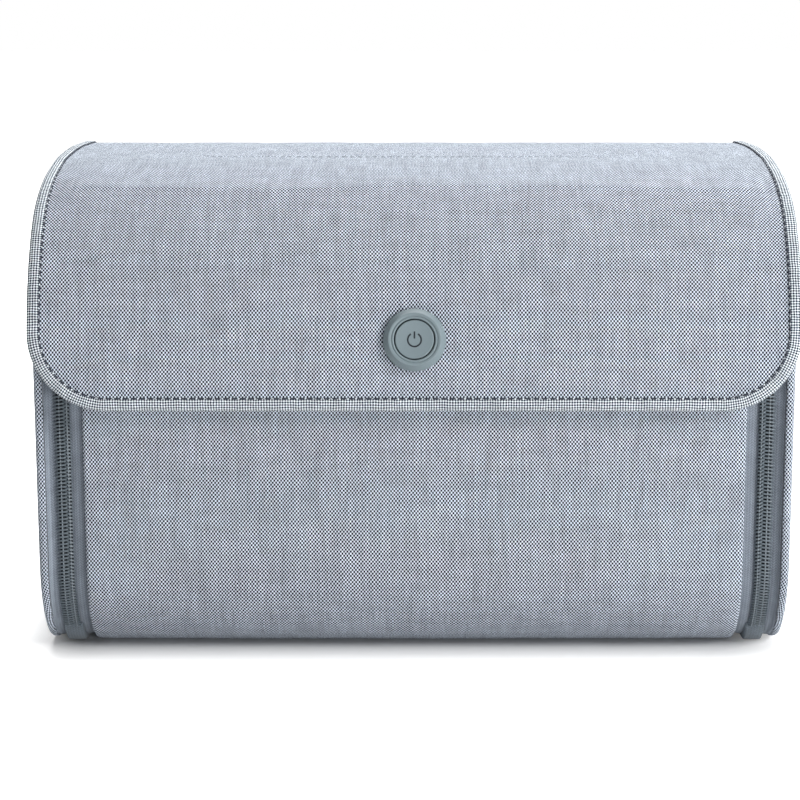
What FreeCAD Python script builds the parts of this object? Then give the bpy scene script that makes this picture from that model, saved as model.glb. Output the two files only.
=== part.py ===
import FreeCAD, Part
import math
import os
import re
import Sketcher

# A soft ultraviolet sterilizer bag. X is its width, the front faces -Y, Z is up, and the origin is
# under the middle of its base.

Vector = FreeCAD.Vector
doc = FreeCAD.newDocument("uv_sterilizer_bag")
sizes = doc.addObject("Spreadsheet::Sheet", "Sizes")

# Millimetres, or degrees where the name ends in tilt or angle.
DRIVING = {
    "depth": 176,  # front of the lid to the back of the bag
    "height": 195,
    "body_width": 300,
    "clearance": 0.3,  # between pieces that move past each other
    "cut_over": 1,  # how far a cutting tool reaches past the face it cuts
    # Lid: a stiff sheet bent over the front, bound along its edge.
    "lid_overhang": 2.5,  # lid past each side panel
    "lid_radius": 85,
    "lid_skirt": 1.7,  # straight stretch between the bend and the binding
    "lid_back_radius": 12,
    "lid_back_skirt": 3,  # straight stretch below the bend at the back
    "lid_cover_thickness": 1.4,
    "lid_board_thickness": 1.4,
    "lid_liner_thickness": 0.8,
    "lid_corner_radius": 31,
    "lid_seat_gap": 0.4,  # binding above the top edges of the side panels
    "binding_width": 5.3,
    "binding_proud": 0.5,
    # Hinge: a piped seam along the top of the back.
    "hinge_inset": 2,
    "hinge_lid_gap": 2.4,
    "hinge_body_gap": 4,
    "welt_radius": 1.7,
    "welt_flange": 14,
    "welt_tape_thickness": 0.8,
    # Body: padded fabric, stiff boards and a reflective liner.
    "bottom_radius": 36,
    "shell_thickness": 2.4,
    "board_thickness": 1.6,
    "liner_thickness": 0.6,
    "side_cover_thickness": 1.6,
    "side_board_thickness": 1.2,
    "side_liner_thickness": 0.6,
    "board_inset": 2,  # boards stop this far inside the seams
    # Front panel: folds inward along a crease.
    "front_rise": 18,  # top of the front panel above the lower end of the lid's bend
    "front_corner_radius": 8,
    "fold_height": 50,
    "fold_gap": 0.6,
    # Zippers: two rows of coil on tapes beside the front panel.
    "zip_side_gap": 1.4,  # between a slider and the side panel
    "zip_panel_gap": 3.2,  # between a slider and the front panel
    "tape_thickness": 0.6,
    "tape_tuck": 4,  # tape that lies behind the front panel
    "row_width": 2.9,
    "row_gap": 1.2,
    "coil_height": 1.8,
    "coil_pitch": 2,
    "coil_groove": 1.1,  # width of the groove between two turns
    "coil_groove_depth": 0.9,
    "end_tab_angle": 50,
    "end_tab_width": 8.2,
    "end_tab_thickness": 2.4,
    # Zipper sliders and their pulls.
    "slider_drop": 4,  # middle of a closed slider below the top of the front panel
    "slider_room": 0.762,  # between a slider's bridge and the lid
    "slider_length": 11,
    "slider_shoulder": 2,
    "slider_flare": 0.5,  # crown past the tail, on each side
    "slider_plate": 1.2,
    "slider_back_plate": 1,
    "slider_flange": 1,
    "slider_lip": 0.2,  # plate past each flange
    "slider_web_end": 1.5,
    "bridge_length": 6.4,
    "bridge_width": 2,
    "bridge_bar": 0.8,
    "bridge_leg": 1,
    "pull_thickness": 1.1,
    "pull_arm": 1.7,  # on each side of the window
    "pull_grip": 8.9,  # plate below the window
    "pull_window_gap": 0.5,  # between the bridge and the sides of the window
    "pull_window_drop": 1.4,  # window below the bridge
    "pull_tip_radius": 2.6,
    "pull_bar_seat": 0.3,  # plate behind the bar, below its middle
    # Closing magnets in the lid and in the front panel.
    "magnet_width": 10,
    "magnet_thickness": 1,
    "magnet_spacing": 120,
    "magnet_tilt": 4.7,
    # Power button, set square to the bend of the lid.
    "button_tilt": 14.3,
    "button_radius": 7.7,
    "button_height": 3.1,
    "button_flange": 0.7,
    "button_flange_room": 0.6,  # round the flange, in the barrel
    "button_flange_thickness": 1,
    "button_travel": 0.6,
    "bezel_ring": 2.2,  # flat of the bezel round the button
    "bezel_bevel": 2.1,
    "bezel_height": 3.4,
    "bezel_rim": 0.9,
    "bezel_sink": 0.6,
    "bezel_lip": 2.2,
    "bezel_wall": 0.6,
    "switch_play": 0.1,  # left between the pressed button and the switch
    "plunger_radius": 1.7,
    "plunger_height": 0.6,
    "switch_width": 6,
    "switch_height": 2,
    "switch_board_gap": 0.8,  # between the board's corners and the barrel
    "switch_board_thickness": 1,
    "switch_cover_lap": 0.6,  # cover past the barrel
    "switch_cover_thickness": 0.6,
    "ribbon_width": 8,
    "ribbon_thickness": 0.5,
    "ribbon_slot": 3,
    # Lamp module under the flat of the lid.
    "lamp_length": 184,
    "lamp_flat_margin": 3.5,  # flat of the lid past the mounting plate
    "lamp_corner_radius": 10,
    "lamp_plate": 1.2,
    "lamp_margin": 3,  # mounting plate past the case
    "lamp_case_depth": 11.8,
    "lamp_wall": 1.6,
    "bay_gap": 4,  # between the lamp bay and the battery bay
    "bay_margin": 1.4,  # between a bay and the case wall
    "window_inset": 3,  # window inside the lamp bay
    "window_end": 10,  # lamp board past each end of the window
    "window_lap": 2,
    "window_thickness": 1.2,
    "led_count": 6,  # in each of two rows
    "led_width": 3.5,
    "led_height": 1.4,
    "led_board_end": 11.4,  # between the lamp board and the end walls
    "led_board_thickness": 1.4,
    "battery_gap": 15.1,  # between the battery and the charging board
    "battery_thickness": 6,
    "charge_board_length": 24,
    "charge_board_inset": 4,  # board inside the battery bay, clear of the case's round corner
    "charge_board_thickness": 1.2,
    "charge_board_lift": 2.9,
    "board_rib": 1.6,
    "board_rib_inset": 2,
    "usb_width": 8.9,
    "usb_height": 3.2,
    "usb_length": 7.3,
    "usb_wall": 0.3,
    "usb_back": 1.1,
    "usb_tongue_width": 6.7,
    "usb_tongue_thickness": 0.7,
    "usb_tongue_set": 1.2,  # tongue behind the socket's mouth
}

# Faces, axes and fits that follow from those sizes.
DERIVED = {
    "lid_width": "body_width + 2 * lid_overhang",
    "lid_thickness": "lid_cover_thickness + lid_board_thickness + lid_liner_thickness",
    "lid_board_depth": "lid_cover_thickness + lid_board_thickness",
    "lid_arc_y": "-depth / 2 + lid_radius",
    "lid_arc_z": "height - lid_radius",
    "lid_edge_z": "lid_arc_z - lid_skirt - binding_width",
    "lid_back_y": "depth / 2 - lid_back_radius",
    "lid_back_z": "height - lid_back_radius",
    "lid_end_z": "lid_back_z - lid_back_skirt",
    "hinge_y": "depth / 2 - hinge_inset",
    "hinge_z": "lid_end_z - hinge_lid_gap",
    "liner_depth": "shell_thickness + board_thickness",
    "wall_depth": "liner_depth + liner_thickness",
    "bridge_gap": "pull_thickness + 2 * clearance",
    "bridge_reach": "coil_height + clearance + slider_plate + bridge_gap + bridge_bar - liner_depth",
    "bridge_rise": "front_rise - slider_drop + bridge_length / 2",
    "lid_inset": "lid_radius - sqrt((lid_radius - lid_thickness)^2 - bridge_rise^2)",
    "front_setback": "lid_inset + slider_room + bridge_reach",
    "front_face": "-depth / 2 + front_setback",
    "back_face": "depth / 2",
    "body_top_z": "hinge_z - hinge_body_gap",
    "side_depth": "lid_thickness + binding_proud + lid_seat_gap",
    "side_inner_x": "body_width / 2 - side_cover_thickness - side_board_thickness - side_liner_thickness",
    "bend_y": "front_face + bottom_radius",
    "bend_back_y": "back_face - bottom_radius",
    "front_panel_top": "lid_arc_z + front_rise",
    "lip_top_z": "fold_height - fold_gap / 2",
    "fold_bottom_z": "fold_height + fold_gap / 2",
    "slider_web": "row_gap - 2 * clearance",
    "slider_channel": "row_gap / 2 + row_width + clearance",
    "slider_tail": "2 * (slider_channel + slider_flange + slider_lip)",
    "slider_crown": "slider_tail + 2 * slider_flare",
    "zip_centre": "side_inner_x - zip_side_gap - slider_crown / 2",
    "front_panel_side": "zip_centre - slider_crown / 2 - zip_panel_gap",
    "tape_inner_x": "front_panel_side - tape_tuck",
    "tape_y": "front_face + liner_depth",
    "coil_y": "tape_y - coil_height",
    "slider_rest": "front_panel_top - slider_drop",
    "slider_under_y": "coil_y - clearance",
    "slider_top_y": "slider_under_y - slider_plate",
    "slider_back_y": "tape_y + tape_thickness + clearance",
    "slider_low_z": "slider_rest - slider_length / 2",
    "slider_high_z": "slider_rest + slider_length / 2",
    "pull_y": "slider_top_y - clearance - pull_thickness / 2",
    "pull_window_width": "bridge_width + 2 * pull_window_gap",
    "pull_window_length": "bridge_length / 2 + pull_window_drop",
    "pull_width": "pull_window_width + 2 * pull_arm",
    "pull_length": "pull_window_length + pull_grip",
    "magnet_z": "lid_arc_z + lid_radius * sin(magnet_tilt)",
    "magnet_pocket": "magnet_width + clearance",
    "button_bore": "button_radius + clearance",
    "button_under": "bezel_height - bezel_lip - clearance - button_flange_thickness",
    "bezel_face_radius": "button_bore + bezel_ring",
    "bezel_radius": "bezel_face_radius + bezel_bevel",
    "bezel_room": "bezel_radius + clearance / 2",
    "barrel_bore": "button_radius + button_flange + button_flange_room",
    "barrel_radius": "barrel_bore + bezel_wall",
    "barrel_room": "barrel_radius + clearance / 2",
    "switch_shoulder": "button_under - button_travel - switch_play - plunger_height",
    "switch_low": "switch_shoulder - switch_height",
    "barrel_low": "switch_low - switch_board_thickness",
    "switch_board_width": "sqrt(2) * (barrel_bore - switch_board_gap)",
    "switch_cover_width": "2 * (barrel_radius + switch_cover_lap)",
    "ribbon_room": "ribbon_width + 2 * clearance",
    "lamp_width": "lid_back_y - lid_arc_y - 2 * lamp_flat_margin",
    "lamp_middle_y": "(lid_arc_y + lid_back_y) / 2",
    "lamp_top_z": "height - lid_thickness",
    "case_top_z": "lamp_top_z - lamp_plate",
    "case_low_z": "case_top_z - lamp_case_depth",
    "case_floor_z": "case_low_z + lamp_wall",
    "case_length": "lamp_length - 2 * lamp_margin",
    "ribbon_end_y": "lamp_middle_y - lamp_width / 2 + lamp_corner_radius",
    "bay_width": "(lamp_width - bay_gap) / 2 - lamp_margin - lamp_wall - bay_margin",
    "bay_offset": "(bay_gap + bay_width) / 2",
    "lamp_bay_y": "lamp_middle_y - bay_offset",
    "battery_bay_y": "lamp_middle_y + bay_offset",
    "led_board_length": "case_length - 2 * (lamp_wall + led_board_end)",
    "window_length": "led_board_length - 2 * window_end",
    "window_width": "bay_width - 2 * window_inset",
    "led_spacing": "window_length / led_count",
    "led_row_offset": "window_width / 4",
    "led_low_z": "case_floor_z + window_thickness + clearance",
    "led_board_z": "led_low_z + led_height",
    "charge_board_x": "case_length / 2 - lamp_wall - clearance - charge_board_length",
    "charge_board_z": "case_floor_z + charge_board_lift",
    "charge_board_width": "bay_width - 2 * charge_board_inset",
    "battery_length": "2 * (charge_board_x - battery_gap)",
    "usb_z": "charge_board_z + charge_board_thickness",
    "usb_depth": "usb_length - usb_back",
    "usb_tongue_length": "usb_depth - usb_tongue_set",
}

for row, (alias, number) in enumerate(DRIVING.items(), start=1):
    sizes.set(f"A{row}", alias)
    sizes.set(f"B{row}", str(number))
    sizes.setAlias(f"B{row}", alias)
for row, (alias, formula) in enumerate(DERIVED.items(), start=1):
    sizes.set(f"C{row}", alias)
    sizes.set(f"D{row}", f"={formula}")
    sizes.setAlias(f"D{row}", alias)
doc.recompute()

SIDES = {"left": -1, "right": 1}
nodes = []


def bound(expression):
    """The expression with each size read from the sheet."""

    def from_sheet(word):
        name = word.group()
        return f"Sizes.{name}" if name in DRIVING or name in DERIVED else name

    return re.sub(r"[a-z][a-z0-9_]*", from_sheet, expression)


def value(expression):
    return float(sizes.evalExpression(bound(expression)))


def place(point):
    return Vector(value(point[0]), value(point[1]), 0)


def bind(item, **expressions):
    for name, expression in expressions.items():
        item.setExpression(name.replace("__", "."), bound(expression))


def keep(item):
    """Count an object as one of the bag's pieces."""
    nodes.append(item)
    return item


def fix(sketch, kind, edge, point, expression):
    index = sketch.addConstraint(Sketcher.Constraint(kind, edge, point, value(expression)))
    sketch.setExpression(f"Constraints[{index}]", bound(expression))


def add_edge(sketch, before, here):
    """Draw one stretch of an outline; give its number and the numbers of its first and last points."""
    start = place(before)
    end = place(here)
    if len(here) == 2:
        return sketch.addGeometry(Part.LineSegment(start, end)), 1, 2
    centre = place(here[2:])
    first = math.atan2(start.y - centre.y, start.x - centre.x)
    last = math.atan2(end.y - centre.y, end.x - centre.x)
    sweep = (last - first + math.pi) % (2 * math.pi) - math.pi
    circle = Part.Circle(centre, Vector(0, 0, 1), (end - centre).Length)
    if sweep > 0:
        edge = sketch.addGeometry(Part.ArcOfCircle(circle, first, first + sweep))
        ends = (1, 2)
    else:
        edge = sketch.addGeometry(Part.ArcOfCircle(circle, last, last - sweep))
        ends = (2, 1)
    # Both ends are fixed later, so one coordinate of the centre settles the arc.
    if abs(end.y - start.y) > abs(end.x - start.x):
        fix(sketch, "DistanceX", edge, 3, here[2])
    else:
        fix(sketch, "DistanceY", edge, 3, here[3])
    return edge, *ends


def add_loop(sketch, corners):
    """A closed outline. A corner is (a, b) after a line, or (a, b, centre a, centre b) after an arc."""
    edges = [add_edge(sketch, corners[i - 1], corners[i]) for i in range(len(corners))]
    for i, (edge, first, last) in enumerate(edges):
        before, _, before_last = edges[i - 1]
        sketch.addConstraint(Sketcher.Constraint("Coincident", before, before_last, edge, first))
        fix(sketch, "DistanceX", edge, last, corners[i][0])
        fix(sketch, "DistanceY", edge, last, corners[i][1])


def add_circle(sketch, middle, radius):
    circle = sketch.addGeometry(Part.Circle(place(middle), Vector(0, 0, 1), value(radius)))
    fix(sketch, "DistanceX", circle, 3, middle[0])
    fix(sketch, "DistanceY", circle, 3, middle[1])
    index = sketch.addConstraint(Sketcher.Constraint("Radius", circle, value(radius)))
    sketch.setExpression(f"Constraints[{index}]", bound(radius))


def new_sketch(body, plane, start):
    """An empty sketch on one of the body's own planes, moved along its normal."""
    sketch = body.newObject("Sketcher::SketchObject", f"{body.Name}_sketch")
    support = [item for item in body.Origin.OriginFeatures if item.Role == plane][0]
    sketch.AttachmentSupport = [(support, "")]
    sketch.MapMode = "FlatFace"
    bind(sketch, AttachmentOffset__Base__z=start)
    return sketch


def pad_sketch(body, sketch, length):
    pad = body.newObject("PartDesign::Pad", f"{body.Name}_pad")
    pad.Profile = sketch
    bind(pad, Length=length)
    return pad


def add_pad(body, plane, loops, start, length):
    sketch = new_sketch(body, plane, start)
    for corners in loops:
        add_loop(sketch, corners)
    return pad_sketch(body, sketch, length)


def add_round_pad(body, plane, middle, radius, start, length):
    sketch = new_sketch(body, plane, start)
    add_circle(sketch, middle, radius)
    return pad_sketch(body, sketch, length)


def extruded(label, plane, loops, start, length):
    body = doc.addObject("PartDesign::Body", label)
    add_pad(body, plane, loops, start, length)
    return body


def revolved(label, corners):
    """A turned piece about its own Z axis, from an outline of radius and height."""
    body = doc.addObject("PartDesign::Body", label)
    sketch = new_sketch(body, "XZ_Plane", "0")
    add_loop(sketch, corners)
    turn = body.newObject("PartDesign::Revolution", f"{label}_turn")
    turn.Profile = sketch
    turn.ReferenceAxis = (sketch, ["V_Axis"])
    turn.Angle = 360
    return body


def box(label, low, size):
    solid = doc.addObject("Part::Box", label)
    bind(solid, Length=size[0], Width=size[1], Height=size[2])
    bind(solid, Placement__Base__x=low[0], Placement__Base__y=low[1], Placement__Base__z=low[2])
    return solid


def group(label, solids):
    compound = doc.addObject("Part::Compound", label)
    compound.Links = solids
    return compound


def cut(label, base, tools):
    result = doc.addObject("Part::Cut", label)
    result.Base = base
    result.Tool = tools[0] if len(tools) == 1 else fuse(f"{label}_tools", tools)
    return result


def common(label, base, tool):
    result = doc.addObject("Part::Common", label)
    result.Base = base
    result.Tool = tool
    return result


def fuse(label, solids):
    result = doc.addObject("Part::MultiFuse", label)
    result.Shapes = solids
    return result


def rectangle(low_a, high_a, low_b, high_b):
    return [(low_a, low_b), (high_a, low_b), (high_a, high_b), (low_a, high_b)]


def rounded_rectangle(length, width, middle_b, radius):
    """A rectangle about a = 0 and b = middle_b, with round corners."""
    left = f"-({length}) / 2"
    right = f"({length}) / 2"
    low = f"{middle_b} - ({width}) / 2"
    high = f"{middle_b} + ({width}) / 2"
    radius = f"({radius})"
    return [
        (f"{right} - {radius}", low),
        (right, f"{low} + {radius}", f"{right} - {radius}", f"{low} + {radius}"),
        (right, f"{high} - {radius}"),
        (f"{right} - {radius}", high, f"{right} - {radius}", f"{high} - {radius}"),
        (f"{left} + {radius}", high),
        (left, f"{high} - {radius}", f"{left} + {radius}", f"{high} - {radius}"),
        (left, f"{low} + {radius}"),
        (f"{left} + {radius}", low, f"{left} + {radius}", f"{low} + {radius}"),
    ]


def span(side, inner, outer):
    """Start and length along X of a piece between two distances from the middle of the bag."""
    start = inner if SIDES[side] > 0 else f"-({outer})"
    return start, f"({outer}) - ({inner})"


def wall_strip(label, outer, inner):
    """The sheet from the front lip, under the base and up the back, between two depths in the wall."""
    corners = [
        (f"front_face + {outer}", "lip_top_z"),
        (f"front_face + {outer}", "bottom_radius"),
        ("bend_y", outer, "bend_y", "bottom_radius"),
        ("bend_back_y", outer),
        (f"back_face - {outer}", "bottom_radius", "bend_back_y", "bottom_radius"),
        (f"back_face - {outer}", "body_top_z"),
        (f"back_face - {inner}", "body_top_z"),
        (f"back_face - {inner}", "bottom_radius"),
        ("bend_back_y", inner, "bend_back_y", "bottom_radius"),
        ("bend_y", inner),
        (f"front_face + {inner}", "bottom_radius", "bend_y", "bottom_radius"),
        (f"front_face + {inner}", "lip_top_z"),
    ]
    return extruded(label, "YZ_Plane", [corners], "-side_inner_x", "2 * side_inner_x")


def zip_notches(label, inner):
    """Tools that clear a strip's front corners for the zippers, outside a distance from the middle."""
    tools = []
    for side in SIDES:
        start, length = span(side, inner, "side_inner_x + cut_over")
        low = (start, "front_face - cut_over", "-cut_over")
        size = (length, "bottom_radius + cut_over", "lip_top_z + 2 * cut_over")
        tools.append(box(f"{label}_{side}_notch", low, size))
    return tools


def body_walls():
    shell = wall_strip("body_shell_strip", "0", "shell_thickness")
    keep(cut("body_shell", shell, zip_notches("body_shell", "front_panel_side")))
    liner = wall_strip("body_liner_strip", "liner_depth", "wall_depth")
    keep(cut("body_liner", liner, zip_notches("body_liner", "tape_inner_x")))
    board_x = "side_inner_x - board_inset"
    base_size = (f"2 * ({board_x})", "bend_back_y - bend_y", "board_thickness")
    keep(box("base_board", (f"-({board_x})", "bend_y", "shell_thickness"), base_size))
    back_low = (f"-({board_x})", "back_face - liner_depth", "bottom_radius")
    back_size = (base_size[0], "board_thickness", "body_top_z - welt_flange - board_inset - bottom_radius")
    keep(box("back_board", back_low, back_size))


def side_outline(inset):
    """A side panel seen from the side, set in from its edge."""
    arc_radius = f"(lid_radius - side_depth - {inset})"
    arc_reach = f"(lid_radius - front_setback - {inset})"
    back_y = f"depth / 2 - side_depth - {inset}"
    top_z = f"height - side_depth - {inset}"
    front_y = f"front_face + {inset}"
    return [
        (front_y, "bottom_radius"),
        ("bend_y", inset, "bend_y", "bottom_radius"),
        ("bend_back_y", inset),
        (f"back_face - {inset}", "bottom_radius", "bend_back_y", "bottom_radius"),
        (f"back_face - {inset}", "body_top_z"),
        (back_y, "body_top_z"),
        (back_y, "lid_back_z"),
        ("lid_back_y", top_z, "lid_back_y", "lid_back_z"),
        ("lid_arc_y", top_z),
        (front_y, f"lid_arc_z + sqrt({arc_radius}^2 - {arc_reach}^2)", "lid_arc_y", "lid_arc_z"),
    ]


def side_panel(side):
    """Fabric, board and reflective liner, from the outside in."""
    outer = "body_width / 2"
    for layer, inset in (("cover", "0"), ("board", "board_inset"), ("liner", "0")):
        inner = f"{outer} - side_{layer}_thickness"
        keep(extruded(f"{side}_side_{layer}", "YZ_Plane", [side_outline(inset)], *span(side, inner, outer)))
        outer = inner


def hinge_welt():
    """A cord in a folded tape: the cord lies on the hinge line, the tape is sewn inside the back."""
    welt = doc.addObject("PartDesign::Body", "hinge_welt")
    flange_y = "back_face - shell_thickness"
    flange = rectangle(f"{flange_y} - welt_tape_thickness", flange_y, "body_top_z - welt_flange", "hinge_z")
    add_pad(welt, "YZ_Plane", [flange], "-side_inner_x", "2 * side_inner_x")
    add_round_pad(welt, "YZ_Plane", ("hinge_y", "hinge_z"), "welt_radius", "-body_width / 2", "body_width")
    keep(welt)


def front_sheet(label, half_width, outer, inner):
    """One layer of the front panel between two depths, with round upper corners."""
    top = "front_panel_top - front_corner_radius"
    right = f"({half_width}) - front_corner_radius"
    corners = [
        (f"-({half_width})", "fold_bottom_z"),
        (half_width, "fold_bottom_z"),
        (half_width, top),
        (right, "front_panel_top", right, top),
        (f"-({right})", "front_panel_top"),
        (f"-({half_width})", top, f"-({right})", top),
    ]
    return extruded(label, "XZ_Plane", [corners], f"-(front_face + {inner})", f"{inner} - {outer}")


def front_plate(label, x, width, thickness):
    """A square plate let into the front panel's board, behind its cover."""
    low = (f"{x} - {width} / 2", "front_face + shell_thickness", f"magnet_z - {width} / 2")
    return box(label, low, (width, thickness, width))


def front_panel():
    """The panel between the zippers, with its board, liner and closing magnets."""
    keep(front_sheet("front_cover", "front_panel_side", "0", "shell_thickness"))
    keep(front_sheet("front_liner", "tape_inner_x", "liner_depth", "wall_depth"))
    pockets = []
    magnets = []
    for side, sign in SIDES.items():
        x = f"{sign} * magnet_spacing / 2"
        pockets.append(front_plate(f"front_{side}_pocket", x, "magnet_pocket", "board_thickness"))
        magnets.append(front_plate(f"front_{side}_magnet", x, "magnet_width", "magnet_thickness"))
    board = front_sheet("front_board_sheet", "front_panel_side", "shell_thickness", "liner_depth")
    keep(cut("front_board", board, pockets))
    keep(group("front_magnets", magnets))


def bent_strip(label, top_z, outer_y, inner_y, end_angle, x_span):
    """A strip down the front and round the front of the base, to an angle below level."""

    def around(y):
        radius = f"(bend_y - ({y}))"
        return f"bend_y - {radius} * cos({end_angle})", f"bottom_radius - {radius} * sin({end_angle})"

    corners = [
        (outer_y, top_z),
        (outer_y, "bottom_radius"),
        (*around(outer_y), "bend_y", "bottom_radius"),
        around(inner_y),
        (inner_y, "bottom_radius", "bend_y", "bottom_radius"),
        (inner_y, top_z),
    ]
    return extruded(label, "YZ_Plane", [corners], *x_span)


def straight_strip(label, low_z, top_z, outer_y, inner_y, x_span):
    return extruded(label, "YZ_Plane", [rectangle(outer_y, inner_y, low_z, top_z)], *x_span)


def add_groove(row, rise, angle, x_span):
    """One groove between two coil turns, placed from the centre of the bend and turned about it."""
    sketch = new_sketch(row, "YZ_Plane", x_span[0])
    sketch.AttachmentOffset = FreeCAD.Placement(Vector(), FreeCAD.Rotation(Vector(0, 0, 1), 1))
    bind(
        sketch,
        AttachmentOffset__Base__x="bend_y",
        AttachmentOffset__Base__y="bottom_radius",
        AttachmentOffset__Rotation__Angle=angle,
    )
    mouth = "coil_y - bend_y"
    low = f"{rise} - coil_groove / 2"
    high = f"{rise} + coil_groove / 2"
    corners = [
        (f"{mouth} + coil_groove_depth", rise),
        (mouth, high),
        (f"{mouth} - cut_over", high),
        (f"{mouth} - cut_over", low),
        (mouth, low),
    ]
    add_loop(sketch, corners)
    groove = row.newObject("PartDesign::Pocket", f"{row.Name}_groove")
    groove.Profile = sketch
    groove.Reversed = True
    bind(groove, Length=x_span[1])
    return sketch, groove


def add_rising_grooves(row, low_z, top_z, x_span):
    """Grooves between the coil turns up the straight of a row."""
    sketch, groove = add_groove(row, f"{low_z} + coil_pitch / 2 - bottom_radius", "0", x_span)
    rise = row.newObject("PartDesign::LinearPattern", f"{row.Name}_rise")
    rise.Originals = [groove]
    rise.Direction = (sketch, ["V_Axis"])
    count = f"floor(({top_z} - ({low_z})) / coil_pitch)"
    bind(rise, Length=f"({count} - 1) * coil_pitch", Occurrences=count)
    row.Tip = rise


def add_curling_grooves(row, end_angle, x_span):
    """Grooves between the coil turns round the bend of a row, to an angle below level."""
    step = "(180 / pi * coil_pitch / (bend_y - coil_y))"
    sketch, groove = add_groove(row, "0", f"{step} / 2", x_span)
    curl = row.newObject("PartDesign::PolarPattern", f"{row.Name}_curl")
    curl.Originals = [groove]
    curl.Axis = (sketch, ["N_Axis"])
    count = f"floor({end_angle} / {step})"
    bind(curl, Angle=f"({count} - 1) * {step}", Occurrences=count)
    row.Tip = curl


def zipper(side):
    """Tapes and coil rows: the outer ones on the side panel, the inner ones on the front panel and lip."""
    inner_x = "zip_centre - row_gap / 2"
    outer_x = "zip_centre + row_gap / 2"
    back_y = "tape_y + tape_thickness"
    top_z = "slider_high_z + clearance"
    inner_top_z = "slider_low_z - clearance"
    inner_tape = span(side, "tape_inner_x", inner_x)
    outer_tape = span(side, outer_x, "side_inner_x")
    inner_row = span(side, f"{inner_x} - row_width", inner_x)
    outer_row = span(side, outer_x, f"{outer_x} + row_width")
    tab = span(side, "zip_centre - end_tab_width / 2", "zip_centre + end_tab_width / 2")

    keep(bent_strip(f"{side}_zip_outer_tape", top_z, "tape_y", back_y, "90", outer_tape))
    keep(bent_strip(f"{side}_zip_lower_tape", "lip_top_z", "tape_y", back_y, "90", inner_tape))
    inner_rise = ("fold_bottom_z", inner_top_z)
    keep(straight_strip(f"{side}_zip_inner_tape", *inner_rise, "tape_y", back_y, inner_tape))

    row = bent_strip(f"{side}_zip_outer_coil", top_z, "coil_y", "tape_y", "end_tab_angle", outer_row)
    add_rising_grooves(row, "bottom_radius", top_z, outer_row)
    add_curling_grooves(row, "end_tab_angle", outer_row)
    keep(row)
    row = bent_strip(f"{side}_zip_lower_coil", "lip_top_z", "coil_y", "tape_y", "end_tab_angle", inner_row)
    add_rising_grooves(row, "bottom_radius", "lip_top_z", inner_row)
    add_curling_grooves(row, "end_tab_angle", inner_row)
    keep(row)
    row = straight_strip(f"{side}_zip_inner_coil", *inner_rise, "coil_y", "tape_y", inner_row)
    add_rising_grooves(row, *inner_rise, inner_row)
    keep(row)
    keep(end_tab(f"{side}_zip_end_tab", tab))


def end_tab(label, x_span):
    """The sewn patch over the lower end of a zipper, round the bend from the last coil turn."""

    def around(radius, angle):
        return f"bend_y - {radius} * cos({angle})", f"bottom_radius - {radius} * sin({angle})"

    inner = "(bend_y - tape_y)"
    outer = "(bend_y - tape_y + end_tab_thickness)"
    middle = ("bend_y", "bottom_radius")
    corners = [
        (*around(inner, "end_tab_angle"), *middle),
        around(outer, "end_tab_angle"),
        (*around(outer, "90"), *middle),
        around(inner, "90"),
    ]
    return extruded(label, "YZ_Plane", [corners], *x_span)


def zip_slider(side):
    """Two plates joined by a thin web that runs between the coil rows, with a bridge for the pull."""
    middle = "zip_centre" if SIDES[side] > 0 else "-zip_centre"
    crown = "slider_crown / 2"
    tail = "slider_tail / 2"
    shoulder = "slider_high_z - slider_shoulder"
    plate = [
        (f"{middle} - {tail}", "slider_low_z"),
        (f"{middle} + {tail}", "slider_low_z"),
        (f"{middle} + {crown}", "slider_rest"),
        (f"{middle} + {crown}", shoulder),
        (f"{middle} + {crown} - slider_shoulder", "slider_high_z"),
        (f"{middle} - {crown} + slider_shoulder", "slider_high_z"),
        (f"{middle} - {crown}", shoulder),
        (f"{middle} - {crown}", "slider_rest"),
    ]
    slider = extruded(f"{side}_zip_slider", "XZ_Plane", [plate], "-slider_under_y", "slider_plate")
    web = rectangle(
        f"{middle} - slider_web / 2",
        f"{middle} + slider_web / 2",
        "slider_low_z + slider_web_end",
        "slider_high_z - slider_web_end",
    )
    add_pad(slider, "XZ_Plane", [web], "-slider_back_y", "slider_back_y - slider_under_y")
    add_pad(slider, "XZ_Plane", [plate], "-(slider_back_y + slider_back_plate)", "slider_back_plate")
    for sign in SIDES.values():
        near = f"{middle} + {sign} * slider_channel"
        far = f"{middle} + {sign} * (slider_channel + slider_flange)"
        flange = rectangle(near, far, "slider_low_z", shoulder)
        flange_height = "tape_y - clearance - slider_under_y"
        add_pad(slider, "XZ_Plane", [flange], "-(tape_y - clearance)", flange_height)
    reach = "slider_top_y - bridge_gap"
    low = "slider_rest - bridge_length / 2"
    high = "slider_rest + bridge_length / 2"
    bridge = [
        ("slider_top_y", low),
        (f"{reach} - bridge_bar", low),
        (f"{reach} - bridge_bar", high),
        ("slider_top_y", high),
        ("slider_top_y", f"{high} - bridge_leg"),
        (reach, f"{high} - bridge_leg"),
        (reach, f"{low} + bridge_leg"),
        ("slider_top_y", f"{low} + bridge_leg"),
    ]
    add_pad(slider, "YZ_Plane", [bridge], f"{middle} - bridge_width / 2", "bridge_width")
    keep(slider)


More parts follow.
